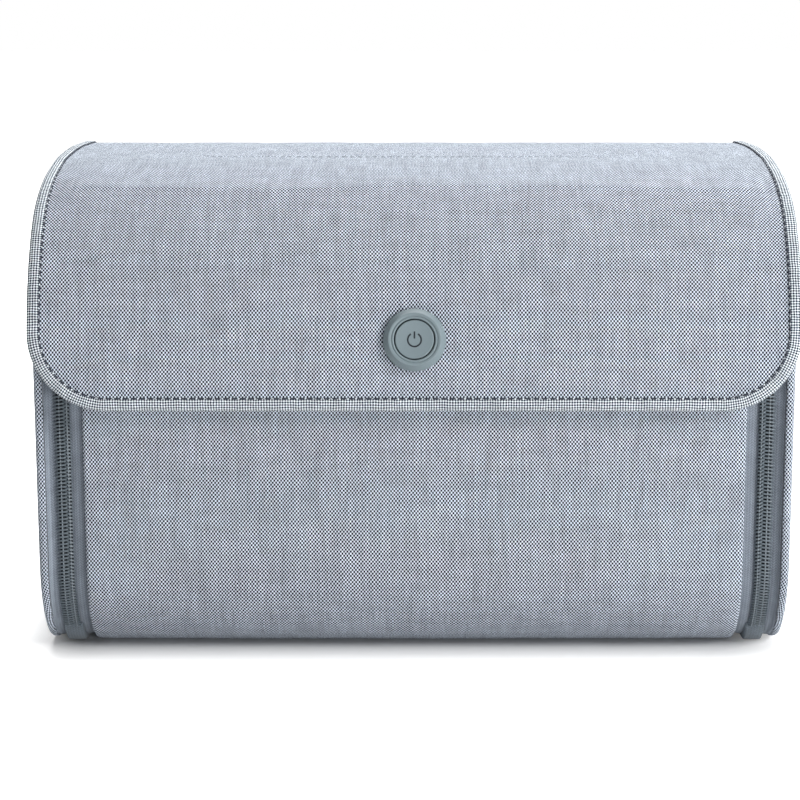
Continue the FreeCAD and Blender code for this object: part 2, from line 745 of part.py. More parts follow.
def zip_pull(side):
    """A flat tab that hangs from a round bar under the slider's bridge."""
    middle = "zip_centre" if SIDES[side] > 0 else "-zip_centre"
    left = f"{middle} - pull_width / 2"
    right = f"{middle} + pull_width / 2"
    tip = "slider_rest - pull_length"
    outline = [
        (left, "slider_rest"),
        (left, f"{tip} + pull_tip_radius"),
        (f"{left} + pull_tip_radius", tip, f"{left} + pull_tip_radius", f"{tip} + pull_tip_radius"),
        (f"{right} - pull_tip_radius", tip),
        (right, f"{tip} + pull_tip_radius", f"{right} - pull_tip_radius", f"{tip} + pull_tip_radius"),
        (right, "slider_rest"),
    ]
    window = rectangle(
        f"{middle} - pull_window_width / 2",
        f"{middle} + pull_window_width / 2",
        "slider_rest - pull_window_length",
        "slider_rest - pull_bar_seat",
    )
    start = "-(pull_y + pull_thickness / 2)"
    pull = extruded(f"{side}_zip_pull", "XZ_Plane", [outline, window], start, "pull_thickness")
    add_round_pad(pull, "YZ_Plane", ("pull_y", "slider_rest"), "pull_thickness / 2", left, "pull_width")
    keep(pull)


def lid_sheet(label, outer, inner, margin, end_z="lid_end_z"):
    """A sheet of the lid between two depths below its outer face, set in from its edge by a margin."""
    back = ("lid_back_y", "lid_back_z")
    front = ("lid_arc_y", "lid_arc_z")
    low_z = "lid_edge_z - cut_over"
    profile = [
        (f"-depth / 2 + {outer}", low_z),
        (f"-depth / 2 + {outer}", "lid_arc_z"),
        ("lid_arc_y", f"height - ({outer})", *front),
        ("lid_back_y", f"height - ({outer})"),
        (f"depth / 2 - ({outer})", "lid_back_z", *back),
        (f"depth / 2 - ({outer})", end_z),
        (f"depth / 2 - ({inner})", end_z),
        (f"depth / 2 - ({inner})", "lid_back_z"),
        ("lid_back_y", f"height - ({inner})", *back),
        ("lid_arc_y", f"height - ({inner})"),
        (f"-depth / 2 + {inner}", "lid_arc_z", *front),
        (f"-depth / 2 + {inner}", low_z),
    ]
    bent = extruded(f"{label}_bend", "YZ_Plane", [profile], "-lid_width / 2", "lid_width")
    side = f"(lid_width / 2 - {margin})"
    edge = f"lid_edge_z + {margin}"
    radius = f"(lid_corner_radius - {margin})"
    top = "height + binding_proud + 2 * cut_over"
    view = [
        (f"-{side}", top),
        (f"-{side}", f"{edge} + {radius}"),
        (f"-{side} + {radius}", edge, f"-{side} + {radius}", f"{edge} + {radius}"),
        (f"{side} - {radius}", edge),
        (side, f"{edge} + {radius}", f"{side} - {radius}", f"{edge} + {radius}"),
        (side, top),
    ]
    reach = "(depth / 2 + binding_proud + 2 * cut_over)"
    trim = extruded(f"{label}_trim", "XZ_Plane", [view], f"-{reach}", f"2 * {reach}")
    return common(label, bent, trim)


def on_lid(item, tilt, x="0"):
    """Stand an object on the lid's bend, square to it, with its own zero height on the outer face."""
    item.Placement = FreeCAD.Placement(Vector(), FreeCAD.Rotation(Vector(1, 0, 0), 90))
    bind(
        item,
        Placement__Rotation__Angle=f"90 - {tilt}",
        Placement__Base__x=x,
        Placement__Base__y=f"lid_arc_y - lid_radius * cos({tilt})",
        Placement__Base__z=f"lid_arc_z + lid_radius * sin({tilt})",
    )
    return item


def square_block(label, width, low, height):
    half = f"{width} / 2"
    return extruded(label, "XY_Plane", [rectangle(f"-{half}", half, f"-{half}", half)], low, height)


def round_block(label, radius, low, high):
    return revolved(label, rectangle("0", radius, low, high))


def lid_band(label, outer, inner, width):
    """A band in the lid from the power button up to the lamp module, between two depths."""
    start = "(button_tilt + 180 / pi * (barrel_radius + clearance) / lid_radius)"

    def begin(depth):
        radius = f"(lid_radius - ({depth}))"
        return f"lid_arc_y - {radius} * cos({start})", f"lid_arc_z + {radius} * sin({start})"

    profile = [
        (*begin(inner), "lid_arc_y", "lid_arc_z"),
        begin(outer),
        ("lid_arc_y", f"height - ({outer})", "lid_arc_y", "lid_arc_z"),
        ("ribbon_end_y", f"height - ({outer})"),
        ("ribbon_end_y", f"height - ({inner})"),
        ("lid_arc_y", f"height - ({inner})"),
    ]
    return extruded(label, "YZ_Plane", [profile], f"-({width}) / 2", width)


def button_hole(label):
    """The round hole through the lid for the bezel's barrel."""
    hole = round_block(label, "barrel_room", "-(lid_thickness + bezel_radius)", "bezel_height")
    return on_lid(hole, "button_tilt")


def lead_hole(label):
    """The slot where the ribbon goes down through the liner into the lamp module."""
    low = ("-ribbon_width / 2", "ribbon_end_y - ribbon_slot", "case_top_z - cut_over")
    depth = "lamp_plate + lid_liner_thickness + 2 * cut_over"
    return box(label, low, ("ribbon_width", "ribbon_slot", depth))


def lid():
    """Fabric, board and liner in a bound edge, with the closing magnets let into the board."""
    proud = "lid_thickness + binding_proud"

    frame = lid_sheet("lid_binding_frame", "-binding_proud", proud, "0")
    inside = lid_sheet(
        "lid_binding_inside",
        "-(binding_proud + cut_over)",
        f"{proud} + cut_over",
        "binding_width",
        "lid_end_z - cut_over",
    )
    keep(cut("lid_binding", frame, [inside]))

    cover = lid_sheet("lid_cover_sheet", "0", "lid_cover_thickness", "binding_width")
    seat = on_lid(round_block("bezel_seat", "bezel_room", "-bezel_sink", "bezel_height"), "button_tilt")
    keep(cut("lid_cover", cover, [seat, button_hole("cover_hole")]))

    board = lid_sheet("lid_board_sheet", "lid_cover_thickness", "lid_board_depth", "binding_width")
    channel_depth = ("lid_cover_thickness - cut_over", "lid_board_depth + cut_over")
    cuts = [button_hole("board_hole"), lid_band("ribbon_channel", *channel_depth, "ribbon_room")]
    magnets = []
    magnet_low = "-(lid_cover_thickness + lid_board_thickness / 2 + magnet_thickness / 2)"
    pocket_depth = ("-(lid_thickness + cut_over)", "lid_thickness + 2 * cut_over")
    for side, sign in SIDES.items():
        x = f"{sign} * magnet_spacing / 2"
        magnet = square_block(f"lid_{side}_magnet", "magnet_width", magnet_low, "magnet_thickness")
        pocket = square_block(f"lid_{side}_pocket", "magnet_pocket", *pocket_depth)
        magnets.append(on_lid(magnet, "magnet_tilt", x))
        cuts.append(on_lid(pocket, "magnet_tilt", x))
    keep(cut("lid_board", board, cuts))
    keep(group("lid_magnets", magnets))

    liner = lid_sheet("lid_liner_sheet", "lid_board_depth", "lid_thickness", "binding_width")
    keep(cut("lid_liner", liner, [button_hole("liner_hole"), lead_hole("liner_lead_hole")]))
    keep(lid_band("switch_ribbon", "lid_board_depth - ribbon_thickness", "lid_board_depth", "ribbon_width"))


def power_button():
    """A turned bezel through the lid, a cap under its lip, and the switch behind it."""
    lip_low = "bezel_height - bezel_lip"
    bezel = [
        ("button_bore", "bezel_height"),
        ("bezel_face_radius", "bezel_height"),
        ("bezel_radius", "bezel_rim"),
        ("bezel_radius", "-bezel_sink"),
        ("barrel_radius", "-bezel_sink"),
        ("barrel_radius", "barrel_low"),
        ("barrel_bore", "barrel_low"),
        ("barrel_bore", lip_low),
        ("button_bore", lip_low),
    ]
    flange_top = "button_under + button_flange_thickness"
    cap = [
        ("0", "button_height"),
        ("button_radius", "button_height"),
        ("button_radius", flange_top),
        ("button_radius + button_flange", flange_top),
        ("button_radius + button_flange", "button_under"),
        ("0", "button_under"),
    ]
    cover_at = ("barrel_low - switch_cover_thickness", "switch_cover_thickness")
    pieces = [
        revolved("button_bezel", bezel),
        revolved("power_button", cap),
        square_block("switch_board", "switch_board_width", "barrel_low", "switch_board_thickness"),
        tact_switch(),
        square_block("switch_back_cover", "switch_cover_width", *cover_at),
    ]
    for piece in pieces:
        keep(on_lid(piece, "button_tilt"))


def tact_switch():
    """A square switch with a round plunger under the button."""
    switch = square_block("tact_switch", "switch_width", "switch_low", "switch_height")
    add_round_pad(switch, "XY_Plane", ("0", "0"), "plunger_radius", "switch_shoulder", "plunger_height")
    return switch


def lamp_block(label, inset, radius, low_z, height):
    """An upright block on the lamp module's outline, set in from the mounting plate's edge."""
    length = f"lamp_length - 2 * ({inset})"
    width = f"lamp_width - 2 * ({inset})"
    loop = rounded_rectangle(length, width, "lamp_middle_y", radius)
    return extruded(label, "XY_Plane", [loop], low_z, height)


def board_ribs(label, length, width, middle_x, middle_y, top_z):
    """A rib on the case floor under each end of a circuit board."""
    reach = f"(({length}) / 2 - board_rib_inset)"
    size = ("board_rib", width, f"{top_z} - case_floor_z")
    lows = (f"{middle_x} - {reach}", f"{middle_x} + {reach} - board_rib")
    return [
        box(f"{label}_{i}", (low, f"{middle_y} - {width} / 2", "case_floor_z"), size)
        for i, low in enumerate(lows)
    ]


def lamp_module():
    """A case under the lid: lamps behind a window, battery, charging board and socket."""
    plate = lamp_block("lamp_plate_sheet", "0", "lamp_corner_radius", "case_top_z", "lamp_plate")
    keep(cut("lamp_plate", plate, [lead_hole("plate_lead_hole")]))

    case_radius = "lamp_corner_radius - lamp_margin"
    block = lamp_block("lamp_case_block", "lamp_margin", case_radius, "case_low_z", "lamp_case_depth")
    cavity = lamp_block(
        "lamp_case_cavity",
        "lamp_margin + lamp_wall",
        f"{case_radius} - lamp_wall",
        "case_floor_z",
        "lamp_case_depth - lamp_wall + cut_over",
    )
    led_board_at = ("led_board_length", "bay_width", "0", "lamp_bay_y", "led_board_z")
    charge_middle_x = "charge_board_x + charge_board_length / 2"
    charge_board_size = ("charge_board_length", "charge_board_width")
    charge_board_at = (*charge_board_size, charge_middle_x, "battery_bay_y", "charge_board_z")
    ribs = board_ribs("led_rib", *led_board_at) + board_ribs("charge_rib", *charge_board_at)
    case = fuse("lamp_case_inside", [cut("lamp_case_shell", block, [cavity]), *ribs])
    window = box(
        "window_opening",
        ("-window_length / 2", "lamp_bay_y - window_width / 2", "case_low_z - cut_over"),
        ("window_length", "window_width", "lamp_wall + 2 * cut_over"),
    )
    slot_x = "case_length / 2 - lamp_wall - cut_over"
    slot_y = "battery_bay_y - usb_width / 2 - clearance"
    slot_size = ("lamp_wall + 2 * cut_over", "usb_width + 2 * clearance", "usb_height + 2 * clearance")
    socket_slot = box("socket_slot", (slot_x, slot_y, "usb_z - clearance"), slot_size)
    keep(cut("lamp_case", case, [window, socket_slot]))

    pane_length = "window_length + 2 * window_lap"
    pane_width = "window_width + 2 * window_lap"
    pane_low = (f"-({pane_length}) / 2", f"lamp_bay_y - ({pane_width}) / 2", "case_floor_z")
    keep(box("lamp_window", pane_low, (pane_length, pane_width, "window_thickness")))
    board_low = ("-led_board_length / 2", "lamp_bay_y - bay_width / 2", "led_board_z")
    keep(box("led_board", board_low, ("led_board_length", "bay_width", "led_board_thickness")))
    leds = []
    for i in range(round(value("led_count"))):
        x = f"({i} - (led_count - 1) / 2) * led_spacing - led_width / 2"
        for sign in SIDES.values():
            low = (x, f"lamp_bay_y + {sign} * led_row_offset - led_width / 2", "led_low_z")
            leds.append(box(f"uv_led_{len(leds)}", low, ("led_width", "led_width", "led_height")))
    keep(group("uv_leds", leds))

    battery_low = ("-battery_length / 2", "battery_bay_y - bay_width / 2", "case_floor_z")
    keep(box("battery_pack", battery_low, ("battery_length", "bay_width", "battery_thickness")))
    charge_low = ("charge_board_x", "battery_bay_y - charge_board_width / 2", "charge_board_z")
    keep(box("charge_board", charge_low, (*charge_board_size, "charge_board_thickness")))
    keep(usb_socket())


def usb_socket():
    """An open shell with a tongue, flush with the end of the case."""
    end_x = "case_length / 2"
    floor_x = f"{end_x} - usb_depth"
    block_low = (f"{end_x} - usb_length", "battery_bay_y - usb_width / 2", "usb_z")
    block = box("usb_block", block_low, ("usb_length", "usb_width", "usb_height"))
    hollow_low = (floor_x, "battery_bay_y - usb_width / 2 + usb_wall", "usb_z + usb_wall")
    hollow_size = ("usb_depth + cut_over", "usb_width - 2 * usb_wall", "usb_height - 2 * usb_wall")
    shell = cut("usb_shell", block, [box("usb_hollow", hollow_low, hollow_size)])
    tongue_y = "battery_bay_y - usb_tongue_width / 2"
    tongue_z = "usb_z + usb_height / 2 - usb_tongue_thickness / 2"
    tongue_size = ("usb_tongue_length", "usb_tongue_width", "usb_tongue_thickness")
    return fuse("usb_socket", [shell, box("usb_tongue", (floor_x, tongue_y, tongue_z), tongue_size)])


def check_and_write():
    doc.recompute()
    failed = [item.Name for item in doc.Objects if {"Invalid", "Error"} & set(item.State)]
    failed += [item.Label for item in nodes if item.Shape.isNull() or not item.Shape.isValid()]
    if failed:
        raise RuntimeError(f"not built: {failed}")
    os.makedirs("parts", exist_ok=True)
    for item in nodes:
        item.Shape.exportStep(f"parts/{item.Label}.step")


body_walls()
hinge_welt()
front_panel()
lid()
power_button()
lamp_module()
for name in SIDES:
    side_panel(name)
    zipper(name)
    zip_slider(name)
    zip_pull(name)
check_and_write()
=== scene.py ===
"""Looks of the ultraviolet sterilizer bag: woven fabric, bound and stitched lid, zippers, button and lamp."""

import math
from collections import namedtuple

import bmesh
import bpy
import numpy as np
from mathutils import Matrix, Vector

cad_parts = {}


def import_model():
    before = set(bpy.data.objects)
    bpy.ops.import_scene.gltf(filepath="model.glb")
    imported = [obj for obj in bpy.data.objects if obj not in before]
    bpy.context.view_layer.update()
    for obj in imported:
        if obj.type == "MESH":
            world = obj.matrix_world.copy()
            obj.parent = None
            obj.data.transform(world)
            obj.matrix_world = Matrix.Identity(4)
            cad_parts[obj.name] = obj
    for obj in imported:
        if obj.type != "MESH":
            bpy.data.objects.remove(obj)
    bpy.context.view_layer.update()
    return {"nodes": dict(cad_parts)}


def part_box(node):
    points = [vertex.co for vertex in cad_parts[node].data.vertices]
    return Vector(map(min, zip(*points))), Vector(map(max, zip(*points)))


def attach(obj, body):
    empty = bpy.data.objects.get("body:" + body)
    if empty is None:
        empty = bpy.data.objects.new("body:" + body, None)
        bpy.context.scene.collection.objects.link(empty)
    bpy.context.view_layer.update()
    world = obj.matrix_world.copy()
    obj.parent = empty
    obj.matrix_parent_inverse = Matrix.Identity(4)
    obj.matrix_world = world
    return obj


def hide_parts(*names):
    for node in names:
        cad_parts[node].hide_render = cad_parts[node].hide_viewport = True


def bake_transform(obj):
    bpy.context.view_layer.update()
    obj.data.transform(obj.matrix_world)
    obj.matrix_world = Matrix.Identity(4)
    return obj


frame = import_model()

MM = 0.001  # every length below is in millimetres, as in the part's source
QUARTER = math.pi / 2
SIDES = {"left": -1, "right": 1}


def low(node, axis):
    """A node's lowest coordinate along an axis."""
    return round(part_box(node)[0]["xyz".index(axis)] / MM, 2)


def high(node, axis):
    """A node's highest coordinate along an axis."""
    return round(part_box(node)[1]["xyz".index(axis)] / MM, 2)


# Body
FRONT_Y = low("body_shell", "y")
BACK_Y = high("body_shell", "y")
BODY_TOP = high("body_shell", "z")
SIDE_INNER = high("body_shell", "x")
BODY_HALF = high("right_side_cover", "x")
BASE_FRONT_Y = low("base_board", "y")
BASE_BACK_Y = high("base_board", "y")
BOTTOM_RADIUS = BACK_Y - BASE_BACK_Y
SHELL_THICK = 2.4
LINER_THICK = 0.45
PANEL_TOP = high("front_cover", "z")
PANEL_HALF = high("front_cover", "x")
PANEL_CORNER = 8.0

# Lid
LID_HALF = high("lid_binding", "x")
LID_EDGE_Z = low("lid_binding", "z")
LID_FRONT_Y = low("lid_cover", "y")
LID_TOP_Z = high("lid_cover", "z")
LID_RADIUS = 85.0
LID_BACK_RADIUS = 12.0
LID_BACK_DROP = 3.0
LID_CORNER = 31.0
LID_THICK = 3.6
LID_BEND_Y = LID_FRONT_Y + LID_RADIUS
LID_BEND_Z = LID_TOP_Z - LID_RADIUS
LID_BACK_Y = high("lid_cover", "y") - LID_BACK_RADIUS
LID_BACK_Z = LID_TOP_Z - LID_BACK_RADIUS
COVER_MARGIN = 2.4
BUTTON_HOLE = 9.9
BINDING = 5.3
BINDING_PROUD = 0.5
BINDING_THICK = 0.45
STITCH_PITCH = 3.3
SIDE_GAP = 4.5  # between the lid's outer face and the edge of a side panel

# Button and lamp module
BUTTON_TILT = math.radians(14.3)
BEZEL_RADIUS = high("button_bezel", "x")
LAMP_HALF = high("lamp_plate", "x")
LAMP_FRONT_Y = low("lamp_plate", "y")
LAMP_BACK_Y = high("lamp_plate", "y")
SEWN_INSET = 1.5  # the seam on top of the lid, in from the edge of the lamp's plate
SEWN_CORNER = 8.5
SEWN_HALF = (LAMP_HALF - SEWN_INSET, (LAMP_BACK_Y - LAMP_FRONT_Y) / 2 - SEWN_INSET)
LEAD_Y = high("switch_ribbon", "y") - 1.5
LEAD_HOLE = (4.4, 2.0)

# Hinge welt
WELT_HALF = high("hinge_welt", "x")
WELT_Y = (low("hinge_welt", "y") + high("hinge_welt", "y")) / 2
WELT_Z = 177.6
WELT_RADIUS = 1.62

# Zippers
ZIP_X = (low("right_zip_slider", "x") + high("right_zip_slider", "x")) / 2
ZIP_TOP = high("right_zip_slider", "z")
INNER_ZIP_TOP = high("right_zip_inner_coil", "z")
TAPE_DEPTH = low("right_zip_outer_tape", "y") - FRONT_Y
TAPE_INNER = low("right_zip_inner_tape", "x")
TAPE_THICK = 0.5
COIL_PITCH = 1.47
COIL_LIFT = 1.7  # crown of the coil above the tape's depth
END_PATCH_HALF = 4.1

# Cloth
WEAVE_PITCH = (0.67, 0.83)  # yarns across and along the cloth
BIAS_PITCH = (0.74, 0.74)
RIB_PITCH = (0.55, 0.55)
SILVER_PITCH = (1.1, 1.1)
WEAVE_DEPTH = 0.16
RIB_DEPTH = 0.10


# Bent strips


def ramp(value, start, length):
    """A number that rises from 0 to 1 over a length."""
    return np.clip((value - start) / length, 0, 1)


def ease(value, start, length):
    """The same rise, soft at both ends."""
    share = ramp(value, start, length)
    return share**2 * (3 - 2 * share)


def hump(value, middle, spread):
    """A soft hump of height 1."""
    return np.exp(-(((value - middle) / spread) ** 2))


class Bend:
    """A strip bent along its length: straight runs and arcs seen from the side, outer face on the left."""

    def __init__(self, start, heading, steps):
        self.parts = []
        self.ends = [0.0]
        point = np.array(start, float)
        heading = np.array(heading, float)
        for length, radius in steps:
            self.parts.append((point, heading, radius))
            self.ends.append(self.ends[-1] + length)
            point, heading = self.step(point, heading, radius, length)
        self.length = self.ends[-1]

    @staticmethod
    def step(point, heading, radius, run):
        if not radius:
            return point + heading * run, heading
        centre = point + radius * np.array([heading[1], -heading[0]])
        turn = -run / radius
        spin = np.array([[math.cos(turn), -math.sin(turn)], [math.sin(turn), math.cos(turn)]])
        return centre + spin @ (point - centre), spin @ heading

    def frame_at(self, run):
        """The place and the outward direction at a distance along the strip."""
        index = min(max(np.searchsorted(self.ends, run, "right") - 1, 0), len(self.parts) - 1)
        point, heading, radius = self.parts[index]
        point, heading = self.step(point, heading, radius, run - self.ends[index])
        return point, np.array([-heading[1], heading[0]])

    def place(self, x, run, lift):
        """Points of the flat strip (across, along, above its outer face) where the bend puts them."""
        x, run, lift = np.broadcast_arrays(np.asarray(x, float), run, lift)
        known, which = np.unique(np.round(run, 6), return_inverse=True)
        frames = np.array([self.frame_at(each) for each in known])[which.reshape(run.shape)]
        bent = frames[..., 0, :] + frames[..., 1, :] * lift[..., None]
        return np.concatenate([x[..., None], bent], -1)


class LidBend(Bend):
    """The lid's strip: drawn in at the sides by its binding, domed at the back, drooping at its shoulders."""

    def place(self, x, run, lift):
        x, run, lift = (np.asarray(given, float) for given in (x, run, lift))
        drawn = (1.3 * hump(run, 0, 62) + 1.7 * ease(run, 80, 50)) / LID_HALF
        dome = 0.9 * hump(run, 178, 26) - 0.3 * ramp(run, 205, 15)
        droop = -1.1 * (x / LID_HALF) ** 8 * hump(run, 127, 17)
        outer = ramp(lift, -2.4, 1)  # the layers under the lid's board stay flat
        return super().place(x * (1 - drawn), run, lift + (dome + droop) * outer)


LID_UPRIGHT = LID_BEND_Z - LID_EDGE_Z
LID_STEPS = [
    (LID_UPRIGHT, 0),
    (LID_RADIUS * QUARTER, LID_RADIUS),
    (LID_BACK_Y - LID_BEND_Y, 0),
    (LID_BACK_RADIUS * QUARTER, LID_BACK_RADIUS),
    (LID_BACK_DROP, 0),
]
LID = LidBend((LID_FRONT_Y, LID_EDGE_Z), (0, 1), LID_STEPS)


def lid_bend_run(angle):
    """Distance along the lid of an angle round the bend over the front."""
    return LID_UPRIGHT + LID_RADIUS * angle


def lid_top_run(y):
    """Distance along the lid of a place on its flat top."""
    return lid_bend_run(QUARTER) + y - LID_BEND_Y


LID_BUTTON = lid_bend_run(BUTTON_TILT)
LID_CREASE = lid_bend_run(math.radians(62.5))
LAMP_RUN = lid_top_run((LAMP_FRONT_Y + LAMP_BACK_Y) / 2)
LEAD_RUN = lid_top_run(LEAD_Y)

WALL_START = (BACK_Y, BODY_TOP)
WALL_STEPS = [
    (BODY_TOP - BOTTOM_RADIUS, 0),
    (BOTTOM_RADIUS * QUARTER, BOTTOM_RADIUS),
    (BASE_BACK_Y - BASE_FRONT_Y, 0),
    (BOTTOM_RADIUS * QUARTER, BOTTOM_RADIUS),
    (PANEL_TOP - BOTTOM_RADIUS, 0),
]
WALL = Bend(WALL_START, (0, -1), WALL_STEPS)
BASE_FRONT = WALL.ends[3]  # where the base meets the front bend
BASE_SEAM = BASE_FRONT - 0.5


def front_run(z):
    """Distance along the wall of a height on the upright front."""
    return WALL.length - (PANEL_TOP - z)


def bend_run(angle):
    """Distance along the wall of an angle round the front bend, from the upright front downwards."""
    return front_run(BOTTOM_RADIUS) - BOTTOM_RADIUS * math.radians(angle)


def bend_angle(run):
    """Angle round the front bend of a distance along the wall."""
    return np.degrees((front_run(BOTTOM_RADIUS) - np.asarray(run, float)) / BOTTOM_RADIUS)


def floor_clearance(angle):
    """How far cloth may stand out at an angle round the front bend before it meets the floor."""
    return (BOTTOM_RADIUS - 0.05) / math.sin(math.radians(angle)) - BOTTOM_RADIUS


def zip_rise(run):
    """How far the zipper comes out towards the cloth as it turns under the base."""
    return 3.1 * ease(bend_angle(run), 25, 55)


class ZipBend(Bend):
    """The wall's strip as the zippers follow it."""

    def place(self, x, run, lift):
        return super().place(x, run, lift + zip_rise(run))


ZIP = ZipBend(WALL_START, (0, -1), WALL_STEPS)


# Materials


class Graph:
    """The nodes of a new material or world, with short calls for them."""

    def __init__(self, name, family=bpy.data.materials, shader="Principled BSDF"):
        self.made = family.new(name)
        self.made.use_nodes = True
        self.nodes = self.made.node_tree.nodes
        self.links = self.made.node_tree.links
        self.shader = self.nodes[shader]

    def feed(self, socket, given):
        if isinstance(given, bpy.types.NodeSocket):
            self.links.new(given, socket)
        else:
            socket.default_value = given

    def node(self, kind, inputs=(), **settings):
        made = self.nodes.new(kind)
        for key, given in settings.items():
            setattr(made, key, given)
        for key, given in dict(inputs).items():
            self.feed(made.inputs[key], given)
        return made

    def math(self, operation, a, b=0.0, c=0.0):
        return self.node("ShaderNodeMath", {0: a, 1: b, 2: c}, operation=operation).outputs[0]

    def vector(self, operation, first, second):
        """A sum or product of vectors, or a vector times a number."""
        second_input = "Scale" if operation == "SCALE" else 1
        inputs = {0: first, second_input: second}
        return self.node("ShaderNodeVectorMath", inputs, operation=operation).outputs[0]

    def split(self, vector):
        """The x and y of a vector."""
        return self.node("ShaderNodeSeparateXYZ", {0: vector}).outputs[:2]

    def mix(self, factor, a, b):
        inputs = {0: factor, 6: rgb(a), 7: rgb(b)}  # 6 and 7 are the node's two colours
        return self.node("ShaderNodeMix", inputs, data_type="RGBA").outputs[2]

    def noise(self, vector, scale, detail=2.0, output="Fac"):
        inputs = {"Vector": vector, "Scale": scale, "Detail": detail}
        return self.node("ShaderNodeTexNoise", inputs).outputs[output]

    def wave(self, along):
        """A sine that crosses zero at every whole number."""
        return self.math("SINE", self.math("MULTIPLY", along, math.pi))

    def span(self, amount, start, end):
        """A number from 0 to 1 stretched to run from start to end."""
        return self.math("MULTIPLY_ADD", amount, end - start, start)

    def bump(self, height, depth):
        made = self.node("ShaderNodeBump", {"Height": height, "Distance": depth * MM, "Strength": 1.0})
        self.links.new(made.outputs[0], self.shader.inputs["Normal"])

    def set(self, **inputs):
        for key, given in inputs.items():
            self.feed(self.shader.inputs[key.replace("_", " ")], given)

    def place(self):
        return self.node("ShaderNodeTexCoord").outputs["Object"]

    def weave(self, pitch, turn=0.0):
        """The weave map counted in yarns, turned by an angle."""
        uv = self.node("ShaderNodeUVMap", uv_map="weave").outputs[0]
        inputs = {"Vector": uv, "Rotation": (0, 0, turn), "Scale": [1 / (step * MM) for step in pitch] + [1]}
        return self.node("ShaderNodeMapping", inputs).outputs[0]


def rgb(colour):
    """A colour as a socket takes it, where it isn't a socket itself."""
    return colour if isinstance(colour, bpy.types.NodeSocket) else (*colour, 1.0)


def woven(name, light, dark, pitch, turn=0.0):
    """A plain weave of light warp and dark weft, with slubs, yarns of uneven shade, and painted shade where
    the yarns dip.
    """
    g = Graph(name)
    yarns = g.weave(pitch, turn)
    wander = g.noise(yarns, 0.11, output="Color")
    x, y = g.split(g.vector("ADD", yarns, g.vector("SCALE", wander, 0.9)))
    column, row = g.math("FLOOR", x), g.math("FLOOR", y)

    def crown(along):
        """Height across one yarn."""
        centred = g.math("SUBTRACT", g.math("FRACT", along), 0.5)
        return g.math("COSINE", g.math("MULTIPLY", centred, 2.75))

    def yarn_tone(identity, along, lot):
        """How dark one yarn is, which drifts along its length."""
        apart = g.math("MULTIPLY", identity, 3.7)
        where = g.node("ShaderNodeCombineXYZ", {0: apart, 1: along, 2: lot}).outputs[0]
        return g.noise(g.vector("MULTIPLY", where, (1.0, 0.045, 1.0)), 1.0, 3.0)

    across_x, across_y = crown(x), crown(y)
    warp_height = g.math("MULTIPLY", across_x, g.span(across_y, 0.5, 1.0))
    weft_height = g.math("MULTIPLY", across_y, g.span(across_x, 0.5, 1.0))
    warp_up = g.math("FLOORED_MODULO", g.math("ADD", column, row), 2.0)
    weft_up = g.math("SUBTRACT", 1.0, warp_up)
    height = g.math("ADD", g.math("MULTIPLY", warp_up, warp_height), g.math("MULTIPLY", weft_up, weft_height))
    deep = [channel * 0.74 for channel in light]
    lifted = [channel * 2.0 for channel in dark]
    warp = g.mix(g.span(yarn_tone(column, y, 0.0), -0.6, 1.4), deep, light)
    weft = g.mix(g.span(yarn_tone(row, x, 40.0), -0.7, 1.5), dark, lifted)
    patches = g.noise(yarns, 0.035, 3.0)
    # The yarns' height also scales the colour, darker where they dip under each other: painted shade between
    # the yarns.
    tone = g.math("MULTIPLY", g.span(height, 0.88, 1.05), g.span(patches, 0.90, 1.10))
    for stretch in ((0.20, 0.045, 1.0), (0.04, 0.24, 1.0)):
        slub = g.noise(g.vector("MULTIPLY", yarns, stretch), 1.0, 3.0)
        tone = g.math("MULTIPLY", tone, g.span(slub, 0.81, 1.19))
    g.set(Base_Color=g.vector("SCALE", g.mix(warp_up, weft, warp), tone), Roughness=0.92)
    g.set(Specular_IOR_Level=0.06, Sheen_Weight=0.04, Sheen_Roughness=0.5)
    fibre = g.noise(yarns, 3.1)
    g.bump(g.math("ADD", height, g.math("MULTIPLY", fibre, 0.5)), WEAVE_DEPTH)
    return g.made


def tape_cloth(name, colour):
    """A close tape with a fine zigzag rib across it, with painted shade in the rib's grooves."""
    g = Graph(name)
    ribs = g.weave(RIB_PITCH)
    x, y = g.split(ribs)
    rib = g.wave(g.math("ADD", y, g.math("PINGPONG", x, 2.0)))
    height = g.math("ADD", g.math("MULTIPLY", rib, 0.5), g.math("MULTIPLY", g.wave(x), 0.25))
    drift = g.noise(ribs, 0.12, 3.0)
    # The rib's height also scales the colour, darker in its grooves: painted shade.
    tone = g.math("MULTIPLY", g.span(height, 0.99, 1.36), g.span(drift, 0.80, 1.22))
    g.set(Base_Color=g.vector("SCALE", colour, tone), Roughness=0.85)
    g.set(Specular_IOR_Level=0.2, Sheen_Weight=0.15)
    g.bump(height, RIB_DEPTH)
    return g.made


def moulded(name, colour, roughness, grain=0.05, grain_scale=2600.0, metallic=0.0, coat=0.0):
    """Moulded or cast surface: fine grain, faint drift of shade and gloss."""
    g = Graph(name)
    place = g.place()
    speck = g.noise(place, grain_scale)
    drift = g.noise(place, 70.0, 3.0)
    tone = g.math("MULTIPLY", g.span(drift, 0.93, 1.07), g.span(speck, 0.96, 1.04))
    g.set(Base_Color=g.vector("SCALE", colour, tone), Metallic=metallic, Coat_Weight=coat)
    g.set(Roughness=g.span(drift, roughness - 0.07, roughness + 0.07))
    g.bump(speck, grain)
    return g.made


